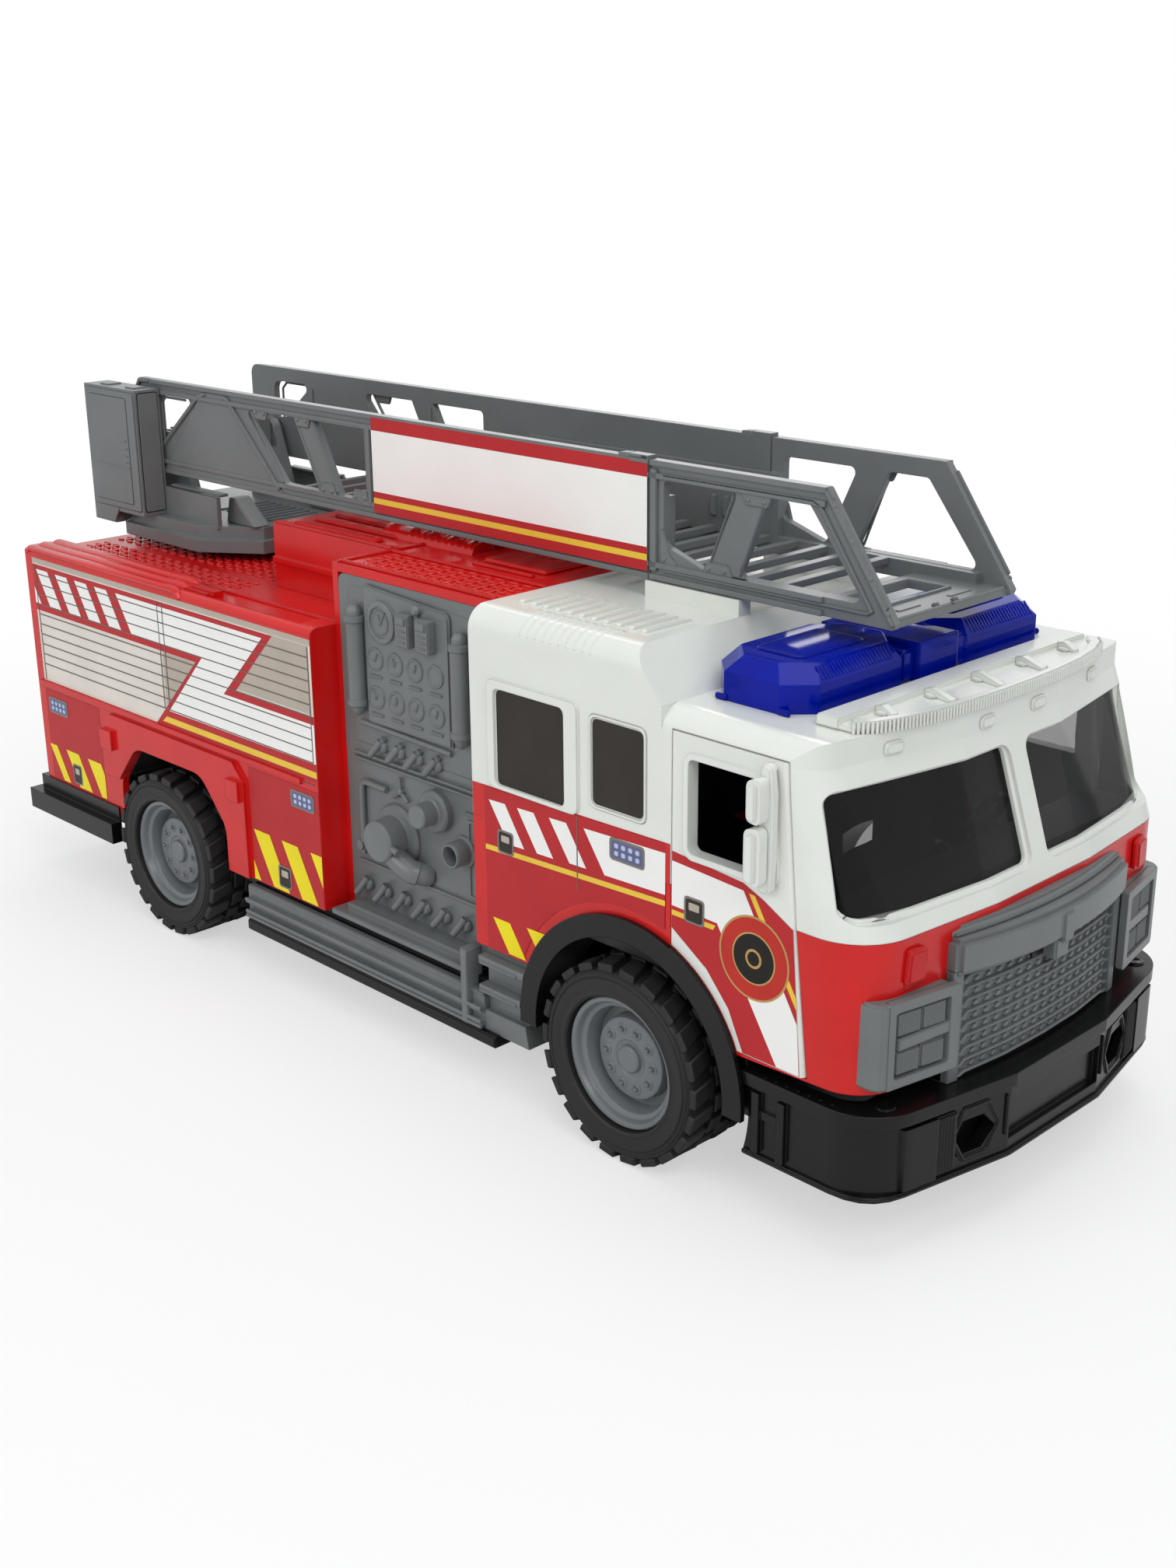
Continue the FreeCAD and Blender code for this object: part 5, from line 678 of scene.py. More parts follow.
def addHeadlights(name, hand):
    settings = {"inner": 33.0, "edge": 52.2, "slope": 0.198, "depth": 1.9, "flutes": 11}
    s, piece = settings, Piece("headlight_detail_" + name)
    low, high, front = lampBox[2][0], lampBox[2][1], lampBox[0][1]
    slant = leaning(hand, s["slope"], s["inner"])
    whole = rectangle(hand * s["inner"], hand * s["edge"], low, high, (0.8, 0.4, 0.4, 0.8))
    hole = rectangle(hand * 35.6, hand * 50.4, low + 2.1, high - 2.3, 0.7)
    piece.prism(whole, "YZ", front - s["depth"], front, 0.45, 3, turn=slant, holes=[hole])
    side = [(front - 3.75, hand * (s["edge"] - 0.3)), (front - 4.3, hand * 53.5), (front - 5.9, hand * 54.5),
            (front - 8, hand * 54.7), (150, hand * 54.4), (150, hand * 34), (front - s["depth"], hand * 34),
            (front - s["depth"] - 3.3, hand * 50.6)]
    piece.prism(side, "XY", low, high, 0.5, 3)
    mid = (low + high) / 2
    bar = [(hand * 34.5, mid - 0.9, 0.3), (hand * 49.2, mid - 1.6, 0.4), (hand * 49.2, mid + 1.2, 0.4),
           (hand * 34.5, mid + 1.8, 0.3)]
    piece.prism(bar, "YZ", front - s["depth"], front - 0.25, 0.35, turn=slant)

    def flute(small):
        small.prism(halfRound(0.26, 0.5), "XY", -2.4, 2.4)

    for z in (low + 5.25, high - 5.45):
        for inner, outer in ((36.4, 42.5), (43.1, 49.4)):
            plate = rectangle(hand * inner, hand * outer, z - 2.8, z + 2.8, 0.5)
            piece.prism(plate, "YZ", front - s["depth"] - 0.3, front - 0.85, 0.25, turn=slant)
            row = {"Across": s["flutes"], "Down": 1, "Width": outer - inner - 0.9, "Height": 0.0}
            place = flutesAt(hand, front - 0.9, hand * ((inner + outer) / 2), z)
            piece.repeat("rows", flute, row, slant @ place)
    piece.prism(rectangle(hand * 34.2, hand * 35.9, low + 6, high - 3, 0.1), "YZ", front - s["depth"],
                front - s["depth"] + 0.1, turn=slant, look="printBlack")
    piece.done(("headlight_" + name,))
    marker = Piece("marker_lens_" + name, look="markerLens")
    place, _ = meet("cab_lower", (200, hand * 43.6, 65.4), (-1, 0, 0))
    corners = [(-3.1, -3.9, 1.2), (2.7, -3.9, 1.2), (3.1, 3.6, 1.4), (-2.5, 3.9, 1.4)]
    shape = [(hand * -a + place.y, b + place.z, r) for a, b, r in corners]
    aim = turned("Z", hand * 9, place)
    marker.prism(shape, "YZ", place.x - 0.8, place.x + 1.5, 0.75, 3, turn=aim)
    marker.done()


addGrille()
for sideName, hand in sides:
    addHeadlights(sideName, hand)
print("grille and headlights fitted")


visorEdge = [(144.6, 45.7), (147.6, 42.2), (150.0, 36.0), (151.8, 27.5), (152.9, 16), (153.25, 5)]
visorLine = [(x, -y) for x, y in visorEdge] + visorEdge[::-1]


def addVisor():
    settings = {"low": 111.2, "high": 113.9, "ribs": 5, "pitch": 17.0, "flutes": 100}
    s, piece = settings, Piece("visor_detail", look="whitePlastic")
    path = [(x, y, s["low"]) for x, y in visorLine]

    def flute(small):
        small.prism(halfRound(0.36, 0.45, 5), "XY", 0, 2.5, turn=spun("Z", 180))

    piece.repeat("along", flute, {"Count": s["flutes"]}, path=path)
    rim = [(x - 0.2, y) for x, y in visorLine]
    rear = boxOf("visor_rack")[0][0]
    piece.prism(rim + [(rear, 46), (rear, -46)], "XY", s["low"] + 0.05, s["low"] + 1.45, 0.3)
    piece.block((rear, rear + 6), (-46, 46), (s["low"] + 0.05, s["high"] - 0.2), 0.35)
    inside = [(x - 2.0, y * 0.965) for x, y in reversed(rim)]
    piece.prism(rim + inside, "XY", s["low"] + 0.1, s["high"] - 0.15, 0.25)
    for k in range(s["ribs"]):
        y = (k - (s["ribs"] - 1) / 2) * s["pitch"]
        front = 150.2 - 7.2 * (abs(y) / 46) ** 2
        wedge = [(141.2, 112.6, 0.3), (front, 112.6, 0.2), (front, 113.3, 0.2), (143.2, 114.5, 0.6),
                 (141.2, 114.1, 0.4)]
        lean = turned("Z", -14, (145, y, 112))
        piece.prism(wedge, "XZ", y - 1.0, y + 1.0, 0.3, turn=lean)
        piece.block((142.4, 145.2), (y - 2.5, y - 0.6), (112.6, 113.3), 0.3, turn=lean)
        piece.block((146.8, 148.6), (y + 0.8, y + 2.3), (112.6, 113.2), 0.3, turn=lean)
    for y in (-37.3, -9.6, 9.6, 37.3):  # the small clearance lamps on the fascia
        place, normal = meet("cab_upper", (200, y, 107.4), (-1, 0, 0))
        pill = rectangle(y - 2.7, y + 2.7, 105.9, 108.9, 1.4)
        aim = turned("Z", math.degrees(math.atan2(normal.y, normal.x)), place)
        piece.prism(pill, "YZ", place.x - 0.5, place.x + 0.85, 0.55, 3, turn=aim)
    piece.done(("visor_rack",))


def addLightBar():
    settings = {"ribs": 22, "pitch": 1.12}
    s, piece = settings, Piece("light_bar_detail", look="blueLens")
    (x0, x1), (_, half), (z0, z1) = boxOf("light_bar")

    def rib(small):
        small.prism(rectangle(-0.3, 0.3, -1.75, 1.75), "XY", -0.2, 0.22, 0.12, 1)

    for hand in (-1, 1):
        middleY = hand * (half + 7.2) / 2
        slope = moved(x1 - 2.55, middleY, z1 - 1.75) @ spun("Y", 50) @ spun("Z", 90)
        row = {"Across": s["ribs"], "Down": 1, "Width": (s["ribs"] - 1) * s["pitch"], "Height": 0.0}
        piece.repeat("rows", rib, row, slope)
        top = rectangle(x0 + 7, x1 - 8, hand * 16, hand * 38, (1.5, 1.5, 2.5, 2.5))
        piece.prism(top, "XY", z1 - 0.2, z1 + 0.35, 0.25)
        core = rectangle(x0 + 4, x1 - 4, hand * 11, hand * 42)
        piece.prism(core, "XY", z0 + 0.6, z0 + 5.2, 0.8, look="blueCore")
        for x in (x0 + 5.5, x1 - 5.5):
            piece.block((x - 1.7, x + 1.7), across(hand, half - 0.4, half + 0.5), (z0, z0 + 1.4), 0.3)
    piece.block((x0 + 1.6, x1 + 0.1), (-7.4, 7.4), (z0 + 0.3, z1 - 0.9), 0.5)
    for hand in (-1, 1):  # bridges that close the gaps beside the middle block
        piece.block((x0 + 2.6, x1 - 1.2), across(hand, 7.0, 11.6), (z0 + 0.3, z1 - 2.4), 0.6)
    piece.done()


def addMirror(name, hand):
    piece = Piece("mirror_detail_" + name, name + "_door", "whitePlastic")
    (left, x), ys, (low, high) = boxOf("mirror_" + name)
    far, near = max(abs(y) for y in ys), min(abs(y) for y in ys)
    back = [(x - 4.0, low, 1.8), (x - 0.4, low, 1.8), (x, low + 8, 2), (x, high - 6, 2), (x - 0.9, high, 2),
            (x - 3.6, high, 1.8)]
    piece.prism(back, "XZ", hand * (near + 0.3), hand * (near + 2.6), 0.8, 3)
    for z0, z1, x0 in ((low + 2, low + 15.2, left), (low + 15.6, high - 2.2, left + 0.6)):
        lobe = [(x0 - 0.3, z0 + 0.6, 1.6), (x - 0.9, z0, 1.8), (x - 0.9, z1, 1.8), (x0 - 0.3, z1 - 0.8, 2.0)]
        piece.prism(lobe, "XZ", hand * (near + 1.6), hand * (far - 0.05), 1.35, 4)
    for z in (low + 0.9, high - 1.2):
        pin = [(0, near - 0.1), (0.95, near - 0.1), (0.95, near + 1.2), (0, near + 1.2)]
        piece.lathe(pin, (x - 2, 0, z), "Y", 16, Matrix.Scale(hand, 4, (0, 1, 0)))
    piece.done(("mirror_" + name,))


def addWindscreenFrame():
    settings = {"low": 75.2, "high": 101.4, "inner": 2.9, "foot": 57.1, "head": 55.8, "lip": 0.8,
                "proud": 0.4}
    s, piece = settings, Piece("windscreen_frame", look="whitePlastic")

    def lay(v):  # x holds the height over the glass, and the glass gives the rest
        for shrink in range(12):  # a spot just beyond the glass takes its depth from the glass beside it
            place, _ = meet("windscreen", (200, v.y * 0.985 ** shrink, v.z), (-1, 0, 0))
            if place.x < 199:
                break
        return Vector((place.x + v.x, v.y, v.z))

    def quartered(points):  # three more points between each two, to follow the glass
        steps = zip(points, points[1:] + points[:1])
        return [here + (there - here) * t / 4 for here, there in steps for t in range(4)]

    for hand in (-1, 1):
        def loop(grow):
            return [(hand * (s["inner"] - grow), s["low"] - grow, 2.0),
                    (hand * (s["foot"] - 0.6 + grow), s["low"] - grow, 2.8),
                    (hand * (s["head"] - 0.6 + grow), s["high"] + grow, 2.6),
                    (hand * (s["inner"] - grow), s["high"] + grow, 2.0)]

        ring = bmesh.new()
        outer, inner = rounded(loop(0.5)), rounded(loop(-s["lip"]))
        outer, inner = quartered(outer), quartered(inner)
        rings = []
        for line, depth in ((outer, 0.0), (outer, s["proud"] + 1.0), (inner, s["proud"] + 0.6), (inner, 0.0)):
            rings.append([ring.verts.new(lay(Vector((depth, p.x, p.y)))) for p in line])
        for one, two in zip(rings, rings[1:] + rings[:1]):
            for k in range(len(one)):
                n = (k + 1) % len(one)
                ring.faces.new((one[k], one[n], two[n], two[k]))
        piece.join(ring)
    piece.done()


def addBumper():
    settings = {"inset": 0.3, "lip": 2.0, "hexInner": 22.0, "hexWidth": 12.0, "slope": 0.198, "flutes": 9,
                "fluteWidth": 7.2, "pegs": 7, "pegPitch": 2.9}
    s, piece, (xs, ys, zs) = settings, Piece("bumper_detail", look="blackPlastic"), bumperBox
    half, front = ys[1], xs[1]

    def plan(inset):
        side, nose, rear = half - inset, front - inset, xs[0] + 0.3
        return [(rear, -side, 0), (nose - 8, -side, 13), (nose, -18, 8), (nose, 18, 8), (nose - 8, side, 13),
                (rear, side, 0)]

    lip = rounded(plan(s["inset"])) + rounded(plan(s["lip"]))[::-1]
    piece.prism([(p.x, p.y) for p in lip], "XY", zs[0] + 0.05, zs[0] + 1.3, 0.35)
    backing = [(152, -50), (157, -48), (160.4, -40), (163, -27), (165.6, -18), (165.6, 18), (163, 27),
               (160.4, 40), (157, 48), (152, 50)]
    piece.prism(backing, "XY", zs[0] + 0.6, zs[1] - 3.1)
    for _, hand in sides:
        mid, low, high = s["hexInner"] + s["hexWidth"] / 2, zs[0] + 3.2, zs[1] - 4.6
        centre = (low + high) / 2
        lean = leaning(hand, s["slope"], 18)

        def six(grow):
            return [(hand * (mid - 6.4 - grow), centre), (hand * (mid - 3.2 - grow / 2), centre - 5.6 - grow),
                    (hand * (mid + 3.2 + grow / 2), centre - 5.6 - grow), (hand * (mid + 6.4 + grow), centre),
                    (hand * (mid + 3.2 + grow / 2), centre + 5.6 + grow),
                    (hand * (mid - 3.2 - grow / 2), centre + 5.6 + grow)]

        piece.prism(six(1.0), "YZ", front - 3.5, front - 0.75, 0.35, turn=lean, holes=[six(-0.3)])
        piece.block((front - 3, front - 0.6), across(hand, 19.6, 18.9), (zs[0] + 5.5, zs[1] - 5), 0.2,
                    turn=lean)
        piece.block((front - 3, front - 0.5), across(hand, 33.8, 43.6), (zs[0] + 2.6, zs[1] - 4.2), 0.4,
                    turn=lean)

        def flute(small):
            small.prism(halfRound(0.3, 0.3), "XY", -6.2, 6.2)

        piece.repeat("rows", flute, {"Across": s["flutes"], "Down": 1, "Width": s["fluteWidth"],
                                     "Height": 0.0},
                                     lean @ flutesAt(hand, front - 0.55, hand * 38.7, middle(zs) - 0.8))
        boss = [(0, zs[1] - 0.3), (2.3, zs[1] - 0.3), (2.3, zs[1] + 0.25), (1.7, zs[1] + 0.5),
                (1.1, zs[1] + 0.2), (0, zs[1] + 0.15)]
        piece.lathe(boss, (159.6, hand * 49.5, 0), "Z", 24)
        peg = [(0, zs[1] - 0.2), (0.35, zs[1] - 0.2), (0.35, zs[1] + 0.15), (0, zs[1] + 0.25)]
        for k in range(s["pegs"]):
            piece.lathe(peg, (134 + k * s["pegPitch"], hand * (57.2 - 0.02 * k * k), 0), "Z", 8)
    piece.done()


def addCabShadeSheets():  # painted shade: dark sheets on the walls and roof inside the cab, seen through the windows, stand in for the shade in there
    settings = {"wall": 54.6, "rear": 47.5, "doorPost": 106, "front": 139, "low": 48.6, "high": 109.5}
    s, piece = settings, Piece("cab_lining", look="cabInside")
    for hand in (-1, 1):
        piece.block((s["rear"], s["doorPost"]), across(hand, s["wall"] - 0.8, s["wall"]),
                    (s["low"], s["high"]), 0.2)
        piece.block((s["rear"] + 40, s["doorPost"]), across(hand, s["wall"] - 1.6, s["wall"] - 0.8),
                    (s["low"] + 6, s["low"] + 24), 0.3)
    piece.block((s["rear"], s["rear"] + 0.8), (-s["wall"], s["wall"]), (s["low"], s["high"]), 0.2)
    piece.block((s["rear"], s["front"]), (-s["wall"] + 0.8, s["wall"] - 0.8), (s["high"] - 0.8, s["high"]),
                0.2)
    piece.done()


addVisor()
addLightBar()
for sideName, hand in sides:
    addMirror(sideName, hand)
addWindscreenFrame()
addBumper()
addCabShadeSheets()
print("cab dressed")


# ladder and turntable
def ribbon(points, width):  # the outline of a flat strip along a bent line
    left, right = [], []
    spots = [Vector(p) for p in points]
    for k, spot in enumerate(spots):
        before = (spot - spots[k - 1]).normalized() if k else (spots[1] - spot).normalized()
        after = (spots[k + 1] - spot).normalized() if k + 1 < len(spots) else before
        across = Vector((-(before + after).y, (before + after).x)).normalized()
        reach = width / 2 / max(0.3, across.dot(Vector((-after.y, after.x))))
        left.append(spot + across * reach)
        right.append(spot - across * reach)
    return [(p.x, p.y) for p in left + right[::-1]]


ladderSide = boxOf("ladder_base")[1][1] - 0.8  # outer face of the ladder's side panels
railLow, railHigh = boxOf("ladder_base")[2][0], boxOf("ladder_fly")[2][1]


def outAt(hand, height):  # y at a height over a ladder side panel
    return hand * (ladderSide + height)


def rivets(piece, hand, spots, height=0.45, radius=0.62, lift=0.0):
    for x, z in spots:
        dome = ((0, -0.2), (radius, -0.2), (radius, lift + height * 0.45),
                (radius * 0.6, lift + height * 0.9), (0, lift + height))
        piece.lathe([(r, outAt(hand, y)) for r, y in dome], (x, 0, z), "Y", 10)


def addLadderTrim(name, hand):
    settings = {"rim": 1.3, "proud": 0.72, "post": -37.3,
                "feet": ((-86.5, 149.2), (-66.6, 149.2), (-56.2, 131.6), (-41.8, 131.4))}
    s, piece = settings, Piece("ladder_trim_" + name, "ladder_base")
    low, high = outAt(hand, -0.3), outAt(hand, s["proud"])

    def strip(points, width, top=high):
        piece.prism(ribbon(points, width), "XZ", low, top, 0.22)

    strip([(-141.5, 129.6), (-139.6, 133.8), (-118.2, 150.6), (-113.4, 152.4)], s["rim"])
    strip([(-104.6, 152.4), (-102.2, 151.4), (-79.0, 128.4)], s["rim"])
    strip([(-150.6, 136.5), (-150.6, 151.5), (-148.6, 153.4), (-143.5, 153.5)], 1.2)
    strip([(-137.6, 136.0), (-137.6, 147.4), (-135.4, 149.4), (-124.4, 149.4)], 0.7, outAt(hand, 0.35))
    strip([(s["post"], 129.8), (s["post"], 151.2)], 1.7)
    strip([(-91.4, 150.0), (-77.2, 130.6)], 0.9, outAt(hand, 0.45))
    strip([(-70.2, 149.8), (-59.8, 131)], 0.7, outAt(hand, 0.4))
    strip([(-62.3, 149.8), (-51.9, 131)], 0.7, outAt(hand, 0.4))
    strip([(-91, 150.6), (-40, 150.6)], 0.8)
    strip([(-76.5, 130.2), (-40, 130.2)], 0.8)
    for x, z in s["feet"]:
        turn, d = (1 if z > 140 else -1), 2.0
        plate = [(x - 4.4, z + turn * d), (x - 2.8, z - turn * d * 0.9), (x + 2.8, z - turn * d * 0.9),
                 (x + 4.4, z + turn * d)]
        piece.prism(plate, "XZ", low, outAt(hand, 0.45), 0.3)
        rivets(piece, hand, ((x - 2, z + turn * 0.3), (x + 2, z + turn * 0.3)), lift=0.4)
    clip, top = boxOf("ladder_base")[0][1], railHigh  # the clip at the end of the top rail
    piece.prism([(clip - 9.6, top - 0.3, 0.4), (clip - 0.2, top - 0.3, 0.3), (clip - 0.2, top + 0.75, 0.3),
                 (clip - 2, top + 0.8, 0.3), (clip - 2.4, top + 0.45, 0.2), (clip - 6.2, top + 0.45, 0.2),
                 (clip - 6.6, top + 0.8, 0.3), (clip - 9.6, top + 0.6, 0.4)], "XZ", outAt(hand, -1.9),
                 outAt(hand, 0.8), 0.2)
    for x in (-120, -63):  # small latches on the inside of each side panel
        piece.prism([(x - 1.1, 142), (x + 1.1, 142), (x + 1.1, 149), (x - 0.2, 149), (x - 1.1, 147.5)], "XZ",
                    outAt(hand, -2.3), outAt(hand, -1.9), 0.15)
    piece.done()


def addFlyTrim(name, hand):
    settings = {"rivets": ((119.6, 150.5), (124.6, 143.5), (129.8, 136.5), (134.6, 129.8))}
    s, piece = settings, Piece("fly_trim_" + name, "ladder_fly")
    low = outAt(hand, -0.3)

    def strip(points, width, proud):
        piece.prism(ribbon(points, width), "XZ", low, outAt(hand, proud), 0.2)

    strip([(67.6, 128.4), (67.6, 152.2)], 2.2, 0.7)
    strip([(117.2, 153.6), (134.9, 129.0), (136.2, 127.2)], 0.8, 0.7)
    strip([(118.7, 151.7), (134.1, 130.4)], 2.3, 0.25)
    strip([(70.5, 151.0), (114.2, 151.0), (116.0, 150.2), (130.6, 129.6), (129.4, 128.9), (70.5, 129.0)],
          0.75, 0.7)
    ring = [(70.6, 133.2, 1.4), (70.6, 149.7, 1.4), (113.0, 149.7, 1.8), (126.4, 130.8, 1.8), (96, 130.8, 1),
            (83.4, 130.8, 1)]
    grown = [(69.5, 132.4, 1.6), (69.5, 150.5, 1.6), (113.6, 150.5, 2.2), (128.0, 129.9, 2.2), (96, 129.9, 1),
             (83, 129.9, 1)]
    piece.prism(grown, "XZ", low, outAt(hand, 0.5), 0.15, holes=[ring])
    strip([(101.0, 149.6), (93.9, 131.2)][::-1], 0.6, 0.35)
    strip([(91.8, 149.6), (84.3, 131.2)][::-1], 0.6, 0.35)
    for x, z, turn in ((98.4, 148.9, 1), (87.2, 131.7, -1), (71.2, 132.0, -1)):
        plate = [(x - 4.8, z + turn * 1.6), (x - 3.2, z - turn * 1.5), (x + 3.2, z - turn * 1.5),
                 (x + 4.8, z + turn * 1.6)]
        if x < 80:
            plate = [(69.6, 138.5), (69.6, 129.9), (75.5, 129.9), (72.4, 133.0), (70.6, 138.5)]
        piece.prism(plate, "XZ", low, outAt(hand, 0.45), 0.25)
    rivets(piece, hand, s["rivets"], lift=0.2)
    rivets(piece, hand, ((96.1, 148.8), (100.7, 148.8), (84.8, 131.7), (89.4, 131.7), (70.9, 131.6)),
           lift=0.4)
    inner = ladderSide - 3.95
    for x in (49.8, 54.0):  # hook clips inside the tail panel
        piece.prism([(x - 0.9, 133.4), (x + 0.9, 133.0), (x + 0.9, 138.4), (x - 0.2, 138.6),
                     (x - 0.9, 137.6)], "XZ", hand * (inner - 0.9), hand * (inner + 0.3), 0.2)
    floor = railLow + 1.6
    hole = [(114.9, 0, 0), (114.9, hand * 11.6, 1.5), (126.1, hand * 11.6, 1.5), (126.1, 0, 0)]
    rim = [(x, y) for x, y, _ in hole]
    piece.prism(ribbon(rim, 1.0), "XY", floor - 0.3, floor + 0.5, 0.2)
    piece.prism(rectangle(129.6, 131.1, hand * 5.4, hand * 13.4, 0.5), "XY", floor - 0.2, floor + 0.22, 0.15)
    piece.prism(rectangle(132.6, 133.9, hand * 2.6, hand * 4.4, 0.5), "XY", floor - 0.2, floor + 0.7, 0.3)
    piece.tube([(134.9, hand * -0.5, floor + 0.05), (134.9, hand * 20, floor + 0.05)], 0.5, 8)
    piece.done()


def addPod():
    settings = {"mark": 1.7, "marks": (136.4, 134.0, 131.7, 129.9)}
    s, piece, (xs, ys, zs) = settings, Piece("pod_panels", "turntable"), boxOf("control_pod")
    near, face = ys[0], xs[1]
    panel = rectangle(xs[0] + 0.6, face - 0.5, zs[0] + 5, zs[1] - 0.6, 1.2)
    piece.prism(panel, "XZ", near + 0.3, near - 0.35, 0.3)
    inset = rectangle(xs[0] + 2.6, face - 4.6, zs[0] + 7, zs[1] - 2.6, 0.8)
    piece.prism(inset, "XZ", near, near - 0.5, 0.15)
    front = rectangle(ys[0] + 0.7, ys[1] - 0.7, zs[0] + 5, zs[1] - 0.8, 1)
    piece.prism(front, "YZ", face - 0.3, face + 0.3, 0.3)
    piece.prism(ribbon([(xs[0] + 3, 128.8), (face - 5, 128.3)], 0.5), "XZ", near - 0.3, near - 0.75, 0.12)
    for z in s["marks"]:
        start = face - 7.4
        piece.block((start, start + s["mark"]), (near - 0.75, near - 0.3), (z - 0.25, z + 0.25), 0.1)
    for x in (xs[0] + 6, xs[0] + 20):
        piece.block((x, x + 5), (ys[0] + 2, ys[1] - 2), (zs[1] - 0.2, zs[1] + 0.4), 0.2)
    foot = [(xs[0] + 0.5, zs[0] + 0.1, 0.4), (xs[0] + 11.5, zs[0] + 0.1, 0.4), (xs[0] + 15, zs[0] + 5.2, 1),
            (xs[0] + 0.5, zs[0] + 5.2, 0.4)]
    piece.prism(foot, "XZ", near + 0.5, near - 0.25, 0.25)
    piece.done()


def addPlatform():
    settings = {"rampLow": 113.8, "rampHigh": 121.5, "ribs": 8, "ribStart": -131, "ribPitch": 3.6}
    s, piece = settings, Piece("turntable_trim", "turntable")
    ramp = [(-113.5, s["rampLow"]), (-99.0, s["rampLow"]), (-108.8, s["rampHigh"], 0.4),
            (-111.5, s["rampHigh"], 0.4)]
    for hand in (-1, 1):
        piece.prism(ramp, "XZ", hand * 12.5, hand * 18.4, 0.3)
        piece.prism(ribbon([(-135, 122.9), (-108.6, 122.9)], 0.8), "XZ", hand * 20.2, hand * 23.3, 0.25)
    for k in range(s["ribs"]):  # low ribs on the platform top
        x = s["ribStart"] + k * s["ribPitch"]
        piece.block((x, x + 1.2), (-9, 9), (s["rampLow"] - 0.2, s["rampLow"] + 0.5), 0.2)
    piece.done()


for sideName, hand in sides:
    addLadderTrim(sideName, hand)
    addFlyTrim(sideName, hand)
addPod()
addPlatform()
print("ladder trimmed")


# pump panels, body top, roof vents, sills and steps
panelFace = boxOf("pump_house")[1][1]  # outer face of the pump panels


